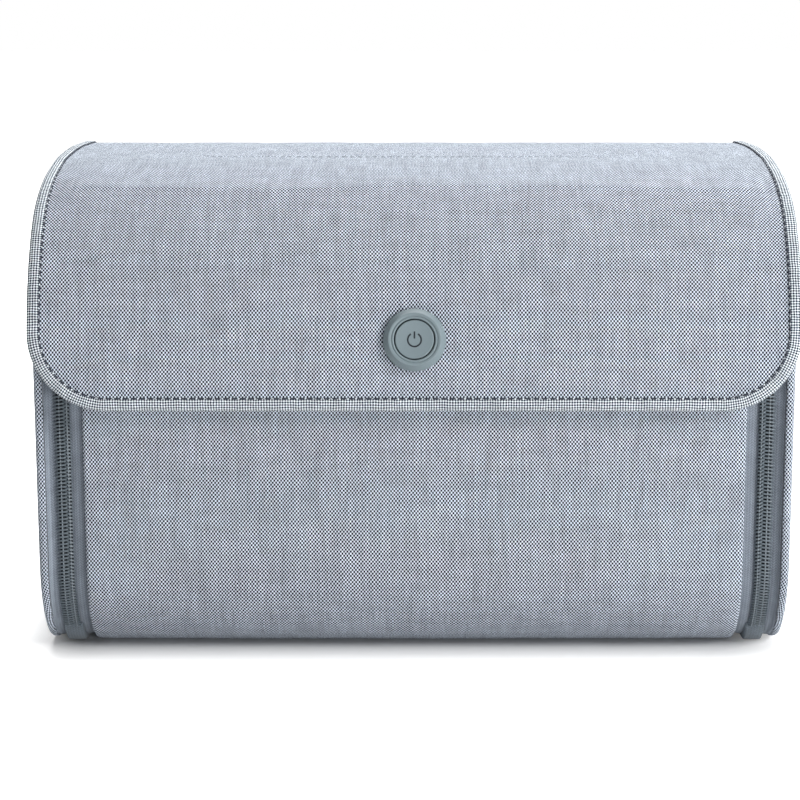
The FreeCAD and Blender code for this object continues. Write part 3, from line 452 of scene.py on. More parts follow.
def silver_cloth(name, colour):
    """Metal-coated cloth: a fine embossed grid, soft dents, worn spots and painted shade in the grid's
    grooves.
    """
    g = Graph(name)
    threads = g.weave(SILVER_PITCH)
    ridges = [g.math("ABSOLUTE", g.wave(axis)) for axis in g.split(threads)]
    grid = g.math("MULTIPLY", *ridges)
    dents = g.noise(threads, 0.07, 4.0)
    worn = g.noise(threads, 0.03, 5.0)
    # The grid's height also scales the colour, darker in its grooves: painted shade.
    tone = g.math("MULTIPLY", g.span(grid, 0.92, 1.05), g.span(worn, 0.9, 1.08))
    g.set(Base_Color=g.vector("SCALE", colour, tone), Metallic=0.75, Roughness=g.span(worn, 0.30, 0.46))
    g.bump(g.math("ADD", g.math("MULTIPLY", grid, 0.2), g.math("MULTIPLY", dents, 2.4)), 0.5)
    return g.made


def clear_window(name, colour):
    """A clear cover with a faint haze."""
    g = Graph(name)
    haze = g.noise(g.place(), 45.0, 3.0)
    g.set(Base_Color=rgb(colour), Transmission_Weight=0.92, IOR=1.46, Roughness=g.span(haze, 0.02, 0.09))
    return g.made


def circuit_board(name, mask, copper):
    """Circuit board: pale solder mask over darker copper runs."""
    g = Graph(name)
    place = g.place()
    inputs = {"Vector": place, "Scale": 260.0, "Mortar Size": 0.03}
    tracks = g.node("ShaderNodeTexBrick", inputs).outputs["Fac"]
    g.set(Base_Color=g.mix(tracks, mask, copper), Roughness=g.span(g.noise(place, 400.0), 0.35, 0.5))
    g.bump(tracks, 0.03)
    return g.made


fabric = woven("woven_fabric", (0.80, 0.88, 0.99), (0.004, 0.007, 0.018), WEAVE_PITCH)
bias_fabric = woven("woven_fabric_bias", (0.89, 0.955, 1.0), (0.02, 0.03, 0.05), BIAS_PITCH, turn=math.pi / 4)
tape = tape_cloth("zip_tape", (0.25, 0.285, 0.335))
liner = silver_cloth("silver_liner", (0.60, 0.62, 0.65))
coil = moulded("zip_coil", (0.125, 0.155, 0.178), 0.3, 0.01)
# The filler cord's near-black colour is painted shade for the gaps between the coil's turns.
coil_core_and_shade = moulded("zip_coil_core", (0.012, 0.016, 0.02), 0.8, 0.05, 6000.0)
tab_cloth = tape_cloth("end_tab", (0.16, 0.19, 0.22))
# The edge stitches' thread is dark partly as its own colour and partly as painted shade of the stitches sunk
# in their seam.
thread = moulded("stitch_thread", (0.03, 0.037, 0.055), 0.8, 0.03, 9000.0)
pale_thread = moulded("pale_thread", (0.40, 0.44, 0.50), 0.75, 0.03, 9000.0)
zip_thread = moulded("zip_thread", (0.23, 0.265, 0.295), 0.55, 0.03, 9000.0)
button_plastic = moulded("button_plastic", (0.178, 0.228, 0.249), 0.42, 0.012, 5200.0)
symbol_ink = moulded("symbol_ink", (0.012, 0.018, 0.024), 0.85, 0.01)
zip_metal = moulded("zip_metal", (0.22, 0.24, 0.27), 0.34, 0.01, 3000.0, metallic=0.85)
magnet_metal = moulded("magnet", (0.62, 0.62, 0.62), 0.28, 0.01, 3000.0, metallic=1.0)
steel = moulded("socket_steel", (0.63, 0.63, 0.64), 0.25, 0.005, 3000.0, metallic=1.0)
lamp_white = moulded("lamp_plastic", (0.62, 0.63, 0.64), 0.45, 0.03, 3200.0)
black_plastic = moulded("black_plastic", (0.02, 0.021, 0.023), 0.45, 0.02, 3200.0)
ribbon_plastic = moulded("ribbon_plastic", (0.50, 0.27, 0.06), 0.4, 0.01)
grey_board = moulded("stiff_board", (0.33, 0.32, 0.30), 0.85, 0.08, 900.0)
battery_wrap = moulded("battery_wrap", (0.09, 0.16, 0.34), 0.3, 0.01, 1500.0)
resin = moulded("led_resin", (0.78, 0.74, 0.55), 0.25, 0.005, coat=0.6)
circuit = circuit_board("circuit_board", (0.86, 0.87, 0.86), (0.70, 0.72, 0.71))
glass = clear_window("lamp_glass", (0.93, 0.95, 0.98))


# Mesh pieces


def piece(name, points, faces, material, uv=None):
    """A smooth mesh from points in millimetres, with a weave map in metres where one is given."""
    used = sorted({i for face in faces for i in face})
    number = {old: new for new, old in enumerate(used)}
    points = np.asarray(points, float).reshape(-1, 3)[used]
    mesh = bpy.data.meshes.new(name)
    mesh.from_pydata((points * MM).tolist(), [], [[number[i] for i in face] for face in faces])
    mesh.shade_smooth()
    if uv is not None:
        uv = np.asarray(uv, float).reshape(-1, 2)[used] * MM
        layer = mesh.uv_layers.new(name="weave")
        corners = np.empty(len(mesh.loops), np.int32)
        mesh.loops.foreach_get("vertex_index", corners)
        layer.data.foreach_set("uv", uv[corners].astype(np.float32).ravel())
    mesh.validate()
    mesh.materials.append(material)
    made = bpy.data.objects.new(name, mesh)
    bpy.context.scene.collection.objects.link(made)
    return made


def dressed(made, slot, *nodes):
    """Stand for the CAD nodes by hiding them. The slot is not used."""
    if nodes:
        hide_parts(*nodes)
    return made


def fitted(made, body, slot, *nodes):
    """Ride on a body, dressed."""
    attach(made, body)
    return dressed(made, slot, *nodes)


def grid_cells(rows, columns, flip=False):
    """Quads of a grid of points, turned over where asked."""
    cells = []
    for r in range(rows - 1):
        for first in range(r * columns, r * columns + columns - 1):
            quad = (first, first + 1, first + columns + 1, first + columns)
            cells.append(quad[::-1] if flip else quad)
    return cells


def slab(name, outer, inner, uv, material, cells):
    """A thick sheet: outer and inner grids joined round every open edge of the cells."""
    count = outer.shape[0] * outer.shape[1]
    faces = []
    for quad in cells:
        faces += [list(quad), [i + count for i in reversed(quad)]]
    edges = [edge for quad in cells for edge in zip(quad, quad[1:] + quad[:1])]
    known = set(edges)
    faces += [[b, a, a + count, b + count] for a, b in edges if (b, a) not in known]
    points = np.concatenate([outer.reshape(-1, 3), inner.reshape(-1, 3)])
    return piece(name, points, faces, material, np.concatenate([uv.reshape(-1, 2)] * 2))


def bent_sheet(name, bend, x, run, top, thick, material, side=1, cells=None):
    """A thick sheet on one side of a bend, from the heights of its outer face."""
    cells = cells or grid_cells(*x.shape, flip=side < 0)
    outer, inner = (bend.place(side * x, run, lift) for lift in (top, top - thick))
    return slab(name, outer, inner, np.stack([x, run], -1), material, cells)


def ring_faces(rows, count):
    """Quads between closed rings of points."""
    faces = []
    for r in range(rows - 1):
        for c in range(count):
            d = (c + 1) % count
            faces.append([r * count + c, r * count + d, (r + 1) * count + d, (r + 1) * count + c])
    return faces


def capped_faces(rows, count):
    """Quads between closed rings of points, with a face over each end."""
    last = (rows - 1) * count
    return ring_faces(rows, count) + [list(range(count))[::-1], list(range(last, last + count))]


def ripple(x, y, seed, size):
    """Soft unevenness of cloth: a few crossed waves with fixed phases."""
    source = np.random.default_rng(seed)
    waves = 6
    total = np.zeros(np.broadcast(x, y).shape)
    for _ in range(waves):
        angle = source.uniform(0, math.pi)
        wave = size * source.uniform(0.6, 1.9)
        phase = source.uniform(0, 2 * math.pi)
        total = total + np.sin((x * math.cos(angle) + y * math.sin(angle)) * 2 * math.pi / wave + phase)
    return total / waves


def closed_loft(name, loops, uv, material):
    """A skin over closed loops, its two ends shut by strips between the loop's two halves."""
    rows, count = loops.shape[:2]
    faces = ring_faces(rows, count)
    for base, flip in ((0, True), ((rows - 1) * count, False)):
        for c in range(count // 2 - 1):
            strip = [base + c, base + c + 1, base + count - 2 - c, base + count - 1 - c]
            faces.append(strip[::-1] if flip else strip)
    return piece(name, loops, faces, material, uv)


def padded_strip(name, bend, runs, half_width, outer, inner, material, edge=1.6, columns=96):
    """A flat pad along a bend from its far end back, with rounded sides. Heights are functions of place."""
    turns = 6
    angles = np.linspace(QUARTER, -QUARTER, turns + 2)[1:-1]
    loops = []
    maps = []
    for run in runs:
        flat = (half_width(run) if callable(half_width) else half_width) - edge
        x = np.linspace(-flat, flat, columns)
        top = outer(x, run)
        base = inner(x, run)
        middle, rise = (top[-1] + base[-1]) / 2, (top[-1] - base[-1]) / 2
        side_x, side_h = flat + edge * np.cos(angles), middle + rise * np.sin(angles)
        xs = np.roll(np.concatenate([x, side_x, x[::-1], -side_x]), turns // 2)
        hs = np.roll(np.concatenate([top, side_h, base[::-1], side_h[::-1]]), turns // 2)
        loops.append(bend.place(xs, run, hs))
        maps.append(np.stack([xs, np.full(xs.shape, run)], 1))
    return closed_loft(name, np.array(loops)[:, ::-1], np.array(maps)[:, ::-1], material)


def unit(vectors):
    return vectors / np.linalg.norm(vectors, axis=1)[:, None]


def distances(path):
    """Distance of each point of a path from its start."""
    return np.concatenate([[0], np.cumsum(np.linalg.norm(np.diff(path, axis=0), axis=1))])


def arc(centre, radius, first, last, count, endpoint=True):
    """Points of an arc between two angles in degrees."""
    angles = np.radians(np.linspace(first, last, count, endpoint=endpoint))
    return [(centre[0] + radius * math.cos(a), centre[1] + radius * math.sin(a)) for a in angles]


def tube(points, radius, sides=6):
    """Points and faces of a tube along a path."""
    points = np.asarray(points, float)
    ahead = unit(np.gradient(points, axis=0))
    side = np.cross(ahead[0], (0.3, 0.5, 0.81))
    angles = np.arange(sides) * 2 * math.pi / sides
    rings = []
    for here, way in zip(points, ahead):
        side = side - way * (side @ way)
        side = side / np.linalg.norm(side)
        other = np.cross(way, side)
        rings.append(here + radius * (np.outer(np.cos(angles), side) + np.outer(np.sin(angles), other)))
    return np.concatenate(rings), capped_faces(len(points), sides)


def join(parts):
    """Several meshes as one list of points and faces."""
    points, faces, start = [], [], 0
    for some, more in parts:
        points.append(np.asarray(some, float).reshape(-1, 3))
        faces += [[i + start for i in face] for face in more]
        start += len(points[-1])
    return np.concatenate(points), faces


def along(path, step):
    """Places at even distances on a flat path."""
    path = np.asarray(path, float)
    run = distances(path)
    places = np.arange(0.0, run[-1], step)
    return np.stack([np.interp(places, run, path[:, i]) for i in range(2)], 1)


STITCH_STEP = 0.05
STITCH_SHARES = (0, 0.12, 0.35, 0.65, 0.88, 1)  # places along one stitch, and its heights there
STITCH_DIPS = np.array([-0.45, -0.05, 0.12, 0.12, -0.05, -0.45])


def stitches(name, bend, path, material, lift, pitch=STITCH_PITCH, dash=2.35, radius=0.27):
    """A row of lock stitches along a flat path, each dipping into the cloth at its ends."""
    fine = along(path, STITCH_STEP)
    per = int(round(pitch / STITCH_STEP))
    take = int(round(dash / STITCH_STEP))
    parts = []
    for start in range(0, len(fine) - take, per):
        picks = fine[[start + round(take * share) for share in STITCH_SHARES]]
        parts.append(tube(bend.place(picks[:, 0], picks[:, 1], lift + STITCH_DIPS), radius))
    return piece(name, *join(parts), material)


def round_width(from_end, half, radius):
    """Half width of a panel with round corners, at a distance from that end."""
    depth = radius - from_end
    if depth <= 0:
        return half
    return half - radius + math.sqrt(max(radius**2 - depth**2, 0.0))


def end_share(from_end, reach):
    """Thickness of a pad near its rounded end, as a share of the full one."""
    depth = min(max(from_end / reach, 0.0), 1.0)
    return max(math.sqrt(1 - (1 - depth) ** 2), 0.12)


# Lid


def lid_outline(margin):
    """The flat path round the lid's bound edge: back left, front, back right."""
    side, radius = LID_HALF - margin, LID_CORNER - margin
    steps = 120
    left = [(-side, run) for run in np.linspace(LID.length, LID_CORNER, steps)[:-1]]
    corner = arc((radius - side, LID_CORNER), radius, 180, 270, 24)
    across = [(x, margin) for x in np.linspace(radius - side, side - radius, steps)[1:-1]]
    return np.array(left + corner + across + [(-x, run) for x, run in reversed(left + corner)])


def sewn_outline():
    """The flat path of the stitched rectangle on top of the lid, round the lamp module's plate."""
    path = []
    for *signs, start in ((1, 1, 0), (-1, 1, 90), (-1, -1, 180), (1, -1, 270)):
        x, run = (sign * (half - SEWN_CORNER) for sign, half in zip(signs, SEWN_HALF))
        path += arc((x, LAMP_RUN + run), SEWN_CORNER, start, start + 90, 10)
    return np.array(path + path[:1])


def sewn_distance(x, run):
    """How far a place on the lid is from the stitched rectangle."""
    qx = np.abs(x) - SEWN_HALF[0] + SEWN_CORNER
    qs = np.abs(run - LAMP_RUN) - SEWN_HALF[1] + SEWN_CORNER
    outside = np.hypot(np.maximum(qx, 0), np.maximum(qs, 0))
    return np.abs(outside + np.minimum(np.maximum(qx, qs), 0) - SEWN_CORNER)


def lid_relief(x, run):
    """Unevenness of the lid's cover: a crease over the front, pucker at the button, the sewn rectangle."""
    wander = 1.6 * np.sin(x / 31 + 0.7) + 0.9 * np.sin(x / 13 + 2.1)
    from_crease = run - LID_CREASE - wander
    groove = -0.30 * hump(from_crease, -2.0, 1.6) * (0.7 + 0.3 * np.sin(x / 22 + 1.3))
    ridge = 1.8 * ramp(-np.abs(x), -146, 14) * np.exp(-(np.hypot(from_crease, 1.1) - 1.1) / 9.5)
    reach = np.hypot(x, run - LID_BUTTON)
    turn = np.arctan2(run - LID_BUTTON, x)
    near = np.exp(-np.maximum(reach - BEZEL_RADIUS, 0) / 2.6)
    pucker = near * (-0.62 + 0.16 * np.cos(13 * turn + 0.6) + 0.10 * np.cos(7 * turn))
    gathers = 0.30 * hump(reach, BEZEL_RADIUS + 1.6, 0.7) * (0.6 + 0.4 * np.cos(17 * turn))
    sewn = -0.30 * hump(sewn_distance(x, run), 0, 0.9)
    sag = -0.55 * ramp(run, 90, 60) * ramp(-run, -222, 30) * (1 - (x / LID_HALF) ** 2)
    return groove + ridge + pucker + gathers + sewn + sag + 0.16 * ripple(x, run, 3, 46) - 0.1


def liner_relief(x, run):
    return 0.05 * ripple(x, run, 11, 30) - 0.06


def lid_runs():
    """Rows of the lid's mesh: close together round its corners."""
    radius = LID_CORNER - COVER_MARGIN
    corner = [COVER_MARGIN + radius * (1 - math.cos(t)) for t in np.linspace(0.06, QUARTER, 17)]
    return np.array(corner + list(np.linspace(LID_CORNER, LID.length, 122)[1:]))


def touching(cells):
    """The grid points at the corners of the marked cells."""
    rows, columns = cells.shape
    points = np.zeros((rows + 1, columns + 1), bool)
    for r in (0, 1):
        for c in (0, 1):
            points[r:r + rows, c:c + columns] |= cells
    return points


def lid_cloth(name, material, lift, thick, relief, lead=False):
    """A layer of the lid inside its binding, with a round hole at the button and one for the lead."""
    runs = lid_runs()
    half, radius = LID_HALF - COVER_MARGIN, LID_CORNER - COVER_MARGIN
    widths = np.array([round_width(run - COVER_MARGIN, half, radius) for run in runs])
    columns = 157
    x = widths[:, None] * np.linspace(-1, 1, columns)[None, :]
    s = np.repeat(runs[:, None], columns, 1)
    reach = np.hypot(x, s - LID_BUTTON)
    middle_x, middle_s = (x[:-1, :-1] + x[1:, 1:]) / 2, (s[:-1, :-1] + s[1:, 1:]) / 2
    gone = np.hypot(middle_x, middle_s - LID_BUTTON) < BUTTON_HOLE
    if lead:
        gone |= (np.abs(middle_x) < LEAD_HOLE[0]) & (np.abs(middle_s - LEAD_RUN) < LEAD_HOLE[1])
    rim = touching(gone) & touching(~gone) & (reach < 2 * BUTTON_HOLE)
    scale = np.where(rim, BUTTON_HOLE / np.maximum(reach, 1e-6), 1.0)
    x, s = x * scale, LID_BUTTON + (s - LID_BUTTON) * scale
    top = lift + relief(x, s)
    cells = [cell for cell, lost in zip(grid_cells(*x.shape), gone.ravel()) if not lost]
    return bent_sheet(name, LID, x, s, top, thick, material, cells=cells)


lid_cover = lid_cloth("lid_cover_cloth", fabric, 0.0, 1.2, lid_relief)
fitted(lid_cover, "lid", "woven_fabric", "lid_cover")
lid_inner = lid_cloth("lid_liner_cloth", liner, -2.85, 0.6, liner_relief, lead=True)
fitted(lid_inner, "lid", "silver_liner", "lid_liner")


def binding_profile():
    """Section of the binding, from its upper inner edge round the lid's edge to the lower one."""
    top, base = BINDING_PROUD, -(LID_THICK + BINDING_PROUD)
    middle, rise, bulge = (top + base) / 2, (top - base) / 2, 1.5
    upper = [(BINDING + 0.25, -0.25), (BINDING, 0.12), (4.6, top * 0.86)]
    upper += [(3.4, top + 0.12), (2.2, top + 0.05)]
    turns = np.linspace(0.15, math.pi - 0.15, 9)
    edge = [(bulge - bulge * math.sin(a), middle + rise * math.cos(a)) for a in turns]
    lower = [(2.2, base), (3.6, base - 0.06), (4.7, base + 0.1)]
    lower += [(BINDING, base + 0.4), (BINDING + 0.25, base + 0.75)]
    return np.array(upper + edge + lower)


def binding():
    """The folded strip round the lid's edge, pinched a little at every stitch."""
    outline = lid_outline(0.0)
    path = np.concatenate([along(outline, 1.1), outline[-1:]])
    ahead = unit(np.gradient(path, axis=0))
    inward = np.stack([-ahead[:, 1], ahead[:, 0]], 1)
    run = distances(path)
    face = binding_profile()
    way = unit(np.gradient(face, axis=0))
    back = face - BINDING_THICK * np.stack([way[:, 1], -way[:, 0]], 1)

    def skin(profile):
        made = np.empty((len(path), len(profile), 3))
        for j, (depth, lift) in enumerate(profile):
            place = path + depth * inward
            pinch = 0.07 * np.sin(2 * math.pi * run / STITCH_PITCH) * (depth > 3)
            swell = 0.035 * np.sin(run / 17 + 0.6) + 0.025 * np.sin(run / 7.3)
            rise = (pinch + swell) * (1 if lift > -LID_THICK / 2 else -1)
            made[:, j] = LID.place(place[:, 0], np.minimum(place[:, 1], LID.length), lift + rise)
        return made

    uv = np.stack(np.meshgrid(run, distances(face), indexing="ij"), -1)
    cells = grid_cells(len(path), len(face))
    return slab("lid_binding_cloth", skin(face), skin(back), uv, bias_fabric, cells)


lid_binding = fitted(binding(), "lid", "woven_fabric", "lid_binding")
edge_path = lid_outline(BINDING - 0.05)
fitted(stitches("lid_edge_stitches", LID, edge_path, thread, 0.16, radius=0.33), "lid", "woven_fabric")
lamp_stitches = stitches("lid_lamp_stitches", LID, sewn_outline(), pale_thread, -0.66, dash=2.2, radius=0.2)
fitted(lamp_stitches, "lid", "woven_fabric")


# Front panel, base and back


def front_pad():
    """The woven front: panel, lower front and front of the base in one cloth."""
    top = WALL.length + 0.4
    half = PANEL_HALF + 0.5
    radius = PANEL_CORNER + 0.5
    thick = SHELL_THICK - 0.05
    least_angle = math.degrees(0.02)
    corner = [top - radius * (1 - math.cos(t)) for t in np.linspace(0.05, QUARTER, 12)]
    runs = corner + list(np.linspace(top - radius, BASE_SEAM, 126)[1:])

    def width(run):
        return round_width(top - run, half, radius)

    def share(run):
        return end_share(top - run, 2.4)

    def deep(x, run):
        """Thickness of the pad, which wraps the board at its edges."""
        beside = ramp(np.abs(x), width(run) - 5, 2.5)
        above = ramp(run, top - 6, 2.5)
        return thick + 1.55 * np.maximum(beside, above) * ramp(run, BASE_FRONT, 8)

    def outer(x, run):
        swell = 0.75 * (1 - (x / half) ** 4) * min(1, (top - run) / 14)
        uneven = 0.22 * ripple(x, run, 5, 62)
        edge_pull = -0.25 * np.exp(-(half - np.abs(x)) / 5)
        angle = min(max(bend_angle(run), least_angle), 90.0)
        roll = 0.95 * min(angle / 50, 1)
        lift = (swell + uneven + edge_pull) * ramp(run, BASE_FRONT, 30) + roll
        lift = np.minimum(lift, max(floor_clearance(angle), 0.0))
        return lift * share(run) - (1 - share(run)) * deep(x, run) / 2

    def inner(x, run):
        return -deep(x, run) * (1 + share(run)) / 2

    return padded_strip("front_cloth", WALL, runs, width, outer, inner, fabric)


def folds(made, slot, *nodes):
    """Cloth that crosses the front panel's crease."""
    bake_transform(made)
    return dressed(made, slot, *nodes)


front = folds(front_pad(), "woven_fabric", "front_cover")


def back_pad():
    """The woven back and base in one cloth."""
    half = SIDE_INNER - 0.05
    runs = np.linspace(BASE_SEAM - 0.2, 0, 130)

    def rim(run):
        return (1 - end_share(run, 2.0)) * 1.1

    def outer(x, run):
        upright = ramp(-run, BOTTOM_RADIUS - BODY_TOP, 40)
        swell = 0.35 * (1 - (x / half) ** 4) * min(1, run / 25)
        return upright * (swell + 0.2 * ripple(x, run, 8, 70)) - rim(run)

    def inner(x, run):
        return np.full(x.shape, -(SHELL_THICK - 0.05) + rim(run))

    return padded_strip("back_cloth", WALL, runs, half, outer, inner, fabric, edge=0.8, columns=110)


back = fitted(back_pad(), "bag", "woven_fabric", "body_shell")


def liner_sheet(name, runs, half, seed):
    """A reflective sheet inside the wall, slack between its seams."""
    x, s = np.meshgrid(np.linspace(-half, half, 90), runs)
    top = -(SHELL_THICK + 1.65) - 0.05 * (1 + ripple(x, s, seed, 34))
    return bent_sheet(name, WALL, x, s, top, LINER_THICK, liner)


back_liner = liner_sheet("back_liner_cloth", np.linspace(0.3, BASE_SEAM, 110), SIDE_INNER - 0.2, 21)
fitted(back_liner, "bag", "silver_liner", "body_liner")
front_liner_runs = np.linspace(BASE_SEAM + 0.2, WALL.length - 0.4, 76)
front_liner = liner_sheet("front_liner_cloth", front_liner_runs, TAPE_INNER - 0.2, 22)
folds(front_liner, "silver_liner", "front_liner")


# Side panels

SIDE_MIDDLE = np.array([4.0, 95.0])
SIDE_EDGE = 6.0  # insets up to this follow the outline, and deeper ones shrink towards the middle
SIDE_SHRINK = 76.0


def side_outline(inset):
    """A side panel's edge seen from the side, set in, with the same number of points at any inset."""
    per = 14
    radius = LID_RADIUS - SIDE_GAP - inset
    reach = LID_BEND_Y - FRONT_Y - inset
    front_top = LID_BEND_Z + math.sqrt(radius**2 - reach**2)
    top = LID_TOP_Z - SIDE_GAP - inset
    hinge_y = BACK_Y - SIDE_GAP - inset
    front_y, back_y, bottom = FRONT_Y + inset, BACK_Y - inset, BOTTOM_RADIUS - inset

    def line(a, b, count):
        return np.linspace(a, b, count, endpoint=False)

    def turn(*given):
        return arc(*given, endpoint=False)

    return np.concatenate([
        line((front_y, front_top), (front_y, BOTTOM_RADIUS), per * 3),
        turn((BASE_FRONT_Y, BOTTOM_RADIUS), bottom, 180, 270, per * 2),
        line((BASE_FRONT_Y, inset), (BASE_BACK_Y, inset), per * 3),
        turn((BASE_BACK_Y, BOTTOM_RADIUS), bottom, -90, 0, per * 2),
        line((back_y, BOTTOM_RADIUS), (back_y, BODY_TOP), per * 4),
        line((back_y, BODY_TOP), (hinge_y, BODY_TOP), 3),
        line((hinge_y, BODY_TOP), (hinge_y, LID_BACK_Z), per // 2),
        turn((LID_BACK_Y, LID_BACK_Z), LID_BACK_RADIUS - SIDE_GAP - inset, 0, 90, per),
        line((LID_BACK_Y, top), (LID_BEND_Y, top), per * 3),
        turn((LID_BEND_Y, LID_BEND_Z), radius, 90, math.degrees(math.acos(-reach / radius)), per * 3),
    ])


def side_rings(name, profile, side, material, inward=False):
    """A panel skinned over rings (inset, distance from the middle), from face to face round the edge."""
    rings = []
    for inset, x in profile:
        outline = side_outline(min(inset, SIDE_EDGE))
        outline = outline + (SIDE_MIDDLE - outline) * ramp(inset, SIDE_EDGE, SIDE_SHRINK)
        distance = x(outline[:, 0], outline[:, 1]) if callable(x) else np.full(len(outline), x)
        rings.append(np.column_stack([side * distance, outline]))
    rings = np.array(rings)
    rows, count = rings.shape[:2]
    faces = capped_faces(rows, count)
    if (side < 0) != inward:
        faces = [face[::-1] for face in faces]
    uv = rings[:, :, 1:].copy()
    first = next(r for r, (inset, x) in enumerate(profile) if inset == SIDE_EDGE and callable(x))
    away = unit(side_outline(0.0) - side_outline(SIDE_EDGE))
    reach = np.zeros(count)
    for r in range(first - 1, -1, -1):
        reach = reach + np.linalg.norm(rings[r] - rings[r + 1], axis=1)
        uv[r] = rings[first, :, 1:] + away * reach[:, None]
    return piece(name, rings, faces, material, uv)


def side_bulge(y, z):
    """How far from the middle a side panel's cover stands."""
    return BODY_HALF + 0.45 * ramp(z, 2, 40) * ramp(-z, -188, 40) + 0.18 * ripple(y, z, 31, 60)


def side_slack(y, z):
    """How far from the middle a side panel's liner hangs."""
    return SIDE_INNER + 0.02 + 0.12 * (1 + ripple(y, z, 41, 36))


SIDE_DEEPEST = 79.0
SIDE_DEEP = np.linspace(9, SIDE_DEEPEST, 22)
# Inset of each ring behind the cover's face, and how far behind that face it lies
COVER_RIM = [(SIDE_DEEPEST, 1.5), (40.0, 1.5), (SIDE_EDGE, 1.5), (1.7, 1.55), (1.5, 2.6), (1.2, 3.25)]
COVER_RIM += [(0.5, 3.35), (0.05, 2.8), (0.0, 1.6), (0.12, 1.0), (0.55, 0.45), (1.4, 0.15)]
COVER_PROFILE = [(inset, BODY_HALF - depth) for inset, depth in COVER_RIM]
COVER_PROFILE += [(inset, side_bulge) for inset in (3.0, SIDE_EDGE, *SIDE_DEEP)]
LINER_RIM = [(SIDE_DEEPEST, 0.52), (40.0, 0.52), (1.75, 0.52), (1.75, 0.2)]
LINER_PROFILE = [(inset, SIDE_INNER + depth) for inset, depth in LINER_RIM]
LINER_PROFILE += [(inset, side_slack) for inset in (4.0, SIDE_EDGE, *SIDE_DEEP)]

for side_name, side in SIDES.items():
    cover = side_rings(f"{side_name}_side_cloth", COVER_PROFILE, side, fabric)
    fitted(cover, "bag", "woven_fabric", f"{side_name}_side_cover")
    lining = side_rings(f"{side_name}_side_liner_cloth", LINER_PROFILE, side, liner, inward=True)
    fitted(lining, "bag", "silver_liner", f"{side_name}_side_liner")


# Hinge welt


def welt_cord():
    """A cloth-covered cord along the hinge line, rounded at its ends."""
    count = 14
    angles = np.arange(count) * 2 * math.pi / count
    end_round = 1.6
    steps = np.linspace(0.1 - WELT_HALF, WELT_HALF - 0.1, 160)
    rings = []
    for x in steps:
        from_end = min((WELT_HALF - abs(x)) / end_round, 1.0)
        end = math.sqrt(max(1 - (1 - from_end) ** 2, 0.02))
        radius = (WELT_RADIUS + 0.05 * np.sin(x / 3.1 + 2 * angles)) * end
        y, z = WELT_Y + radius * np.cos(angles), WELT_Z + radius * np.sin(angles)
        rings.append(np.column_stack([np.full(count, x), y, z]))
    uv = np.stack(np.meshgrid(steps, angles * WELT_RADIUS, indexing="ij"), -1)
    return piece("hinge_welt_cord", rings, capped_faces(len(steps), count), bias_fabric, uv)


def welt_flange():
    """The cord's cloth, sewn flat behind the back."""
    outer_y, inner_y, half = WELT_Y - 0.5, WELT_Y - 1.1, WELT_HALF - 2.7
    x, z = np.meshgrid(np.linspace(-half, half, 60), np.linspace(WELT_Z - 17.6, WELT_Z - 1, 8))
    outer = np.stack([x, np.full(x.shape, outer_y), z], -1)
    inner = np.stack([x, inner_y + 0.06 * ripple(x, z, 51, 20), z], -1)
    cells = grid_cells(*x.shape, flip=True)
    return slab("hinge_welt_flange", outer, inner, np.stack([x, z], -1), bias_fabric, cells)


fitted(welt_cord(), "bag", "woven_fabric", "hinge_welt")
flange = fitted(welt_flange(), "bag", "woven_fabric")


# Zippers

END_RUN = bend_run(50)
TAPE_START = BASE_FRONT - 2

Row = namedtuple("Row", "name sign top root head cord seam shift stretches")
# Distances of the coil's root and head, the cord and the seam thread are from the middle of the chain
ROWS = (
    Row("outer", 1, front_run(ZIP_TOP), 3.1, -1.2, 0.95, 0.95, 0.5, ["outer"]),
    Row("inner", -1, front_run(INNER_ZIP_TOP), 3.2, 0.75, 1.75, 2.1, 0.0, ["inner", "lower"]),
)
# Places across a tape from the middle of the bag, and how far it lies behind its depth there
TAPE_SECTION = np.array([
    (TAPE_INNER, 0.2), (PANEL_HALF, 0.8), (ZIP_X - 4.9, 0.0), (ZIP_X - 3.7, 0.45), (ZIP_X, 0.3),
    (ZIP_X + 3.6, 0.45), (ZIP_X + 4.8, 0.0), (ZIP_X + 5.7, -0.2), (SIDE_INNER, -2.4),
])


def tape_sheet(name, runs, near, far, side):
    """A zipper tape between two distances from the middle, hollowed under the coil and slider."""
    x, s = np.meshgrid(np.linspace(near, far, 22), runs)
    inward = np.interp(x, *TAPE_SECTION.T)
    under_panel = np.interp(x, [PANEL_HALF - 0.6, PANEL_HALF + 0.7], [1.0, 0.0])
    top = -TAPE_DEPTH + 0.15 - inward - under_panel * zip_rise(s)
    top = np.minimum(top, -0.6 - zip_rise(s))
    return bent_sheet(name, ZIP, x, s, top, TAPE_THICK, tape, side)


def coil_row(name, row, side):
    """One row of a coil zipper: a bent wire that loops from the tape to the middle of the chain and back."""
    root, head = row.root, row.head
    turns = int((row.top - END_RUN) / COIL_PITCH)
    out, height, share = np.array([
        (root, -0.85, 0.0), (root - 0.35, -0.38, 0.06), (1.7, -0.22, 0.16), (head + 0.9, -0.24, 0.28),
        (head + 0.25, -0.42, 0.36), (head, -0.95, 0.42), (head + 0.25, -1.42, 0.5),
        (1.2, -1.52, 0.66), (root - 0.35, -1.48, 0.86),
    ]).T
    run = (END_RUN + (np.arange(turns)[:, None] + share + row.shift) * COIL_PITCH).ravel()
    keep = run < row.top
    x = np.tile(side * (ZIP_X + row.sign * out), turns)
    lift = np.tile(COIL_LIFT - TAPE_DEPTH + height, turns)
    return piece(name, *tube(ZIP.place(x[keep], run[keep], lift[keep]), 0.40, sides=7), coil)


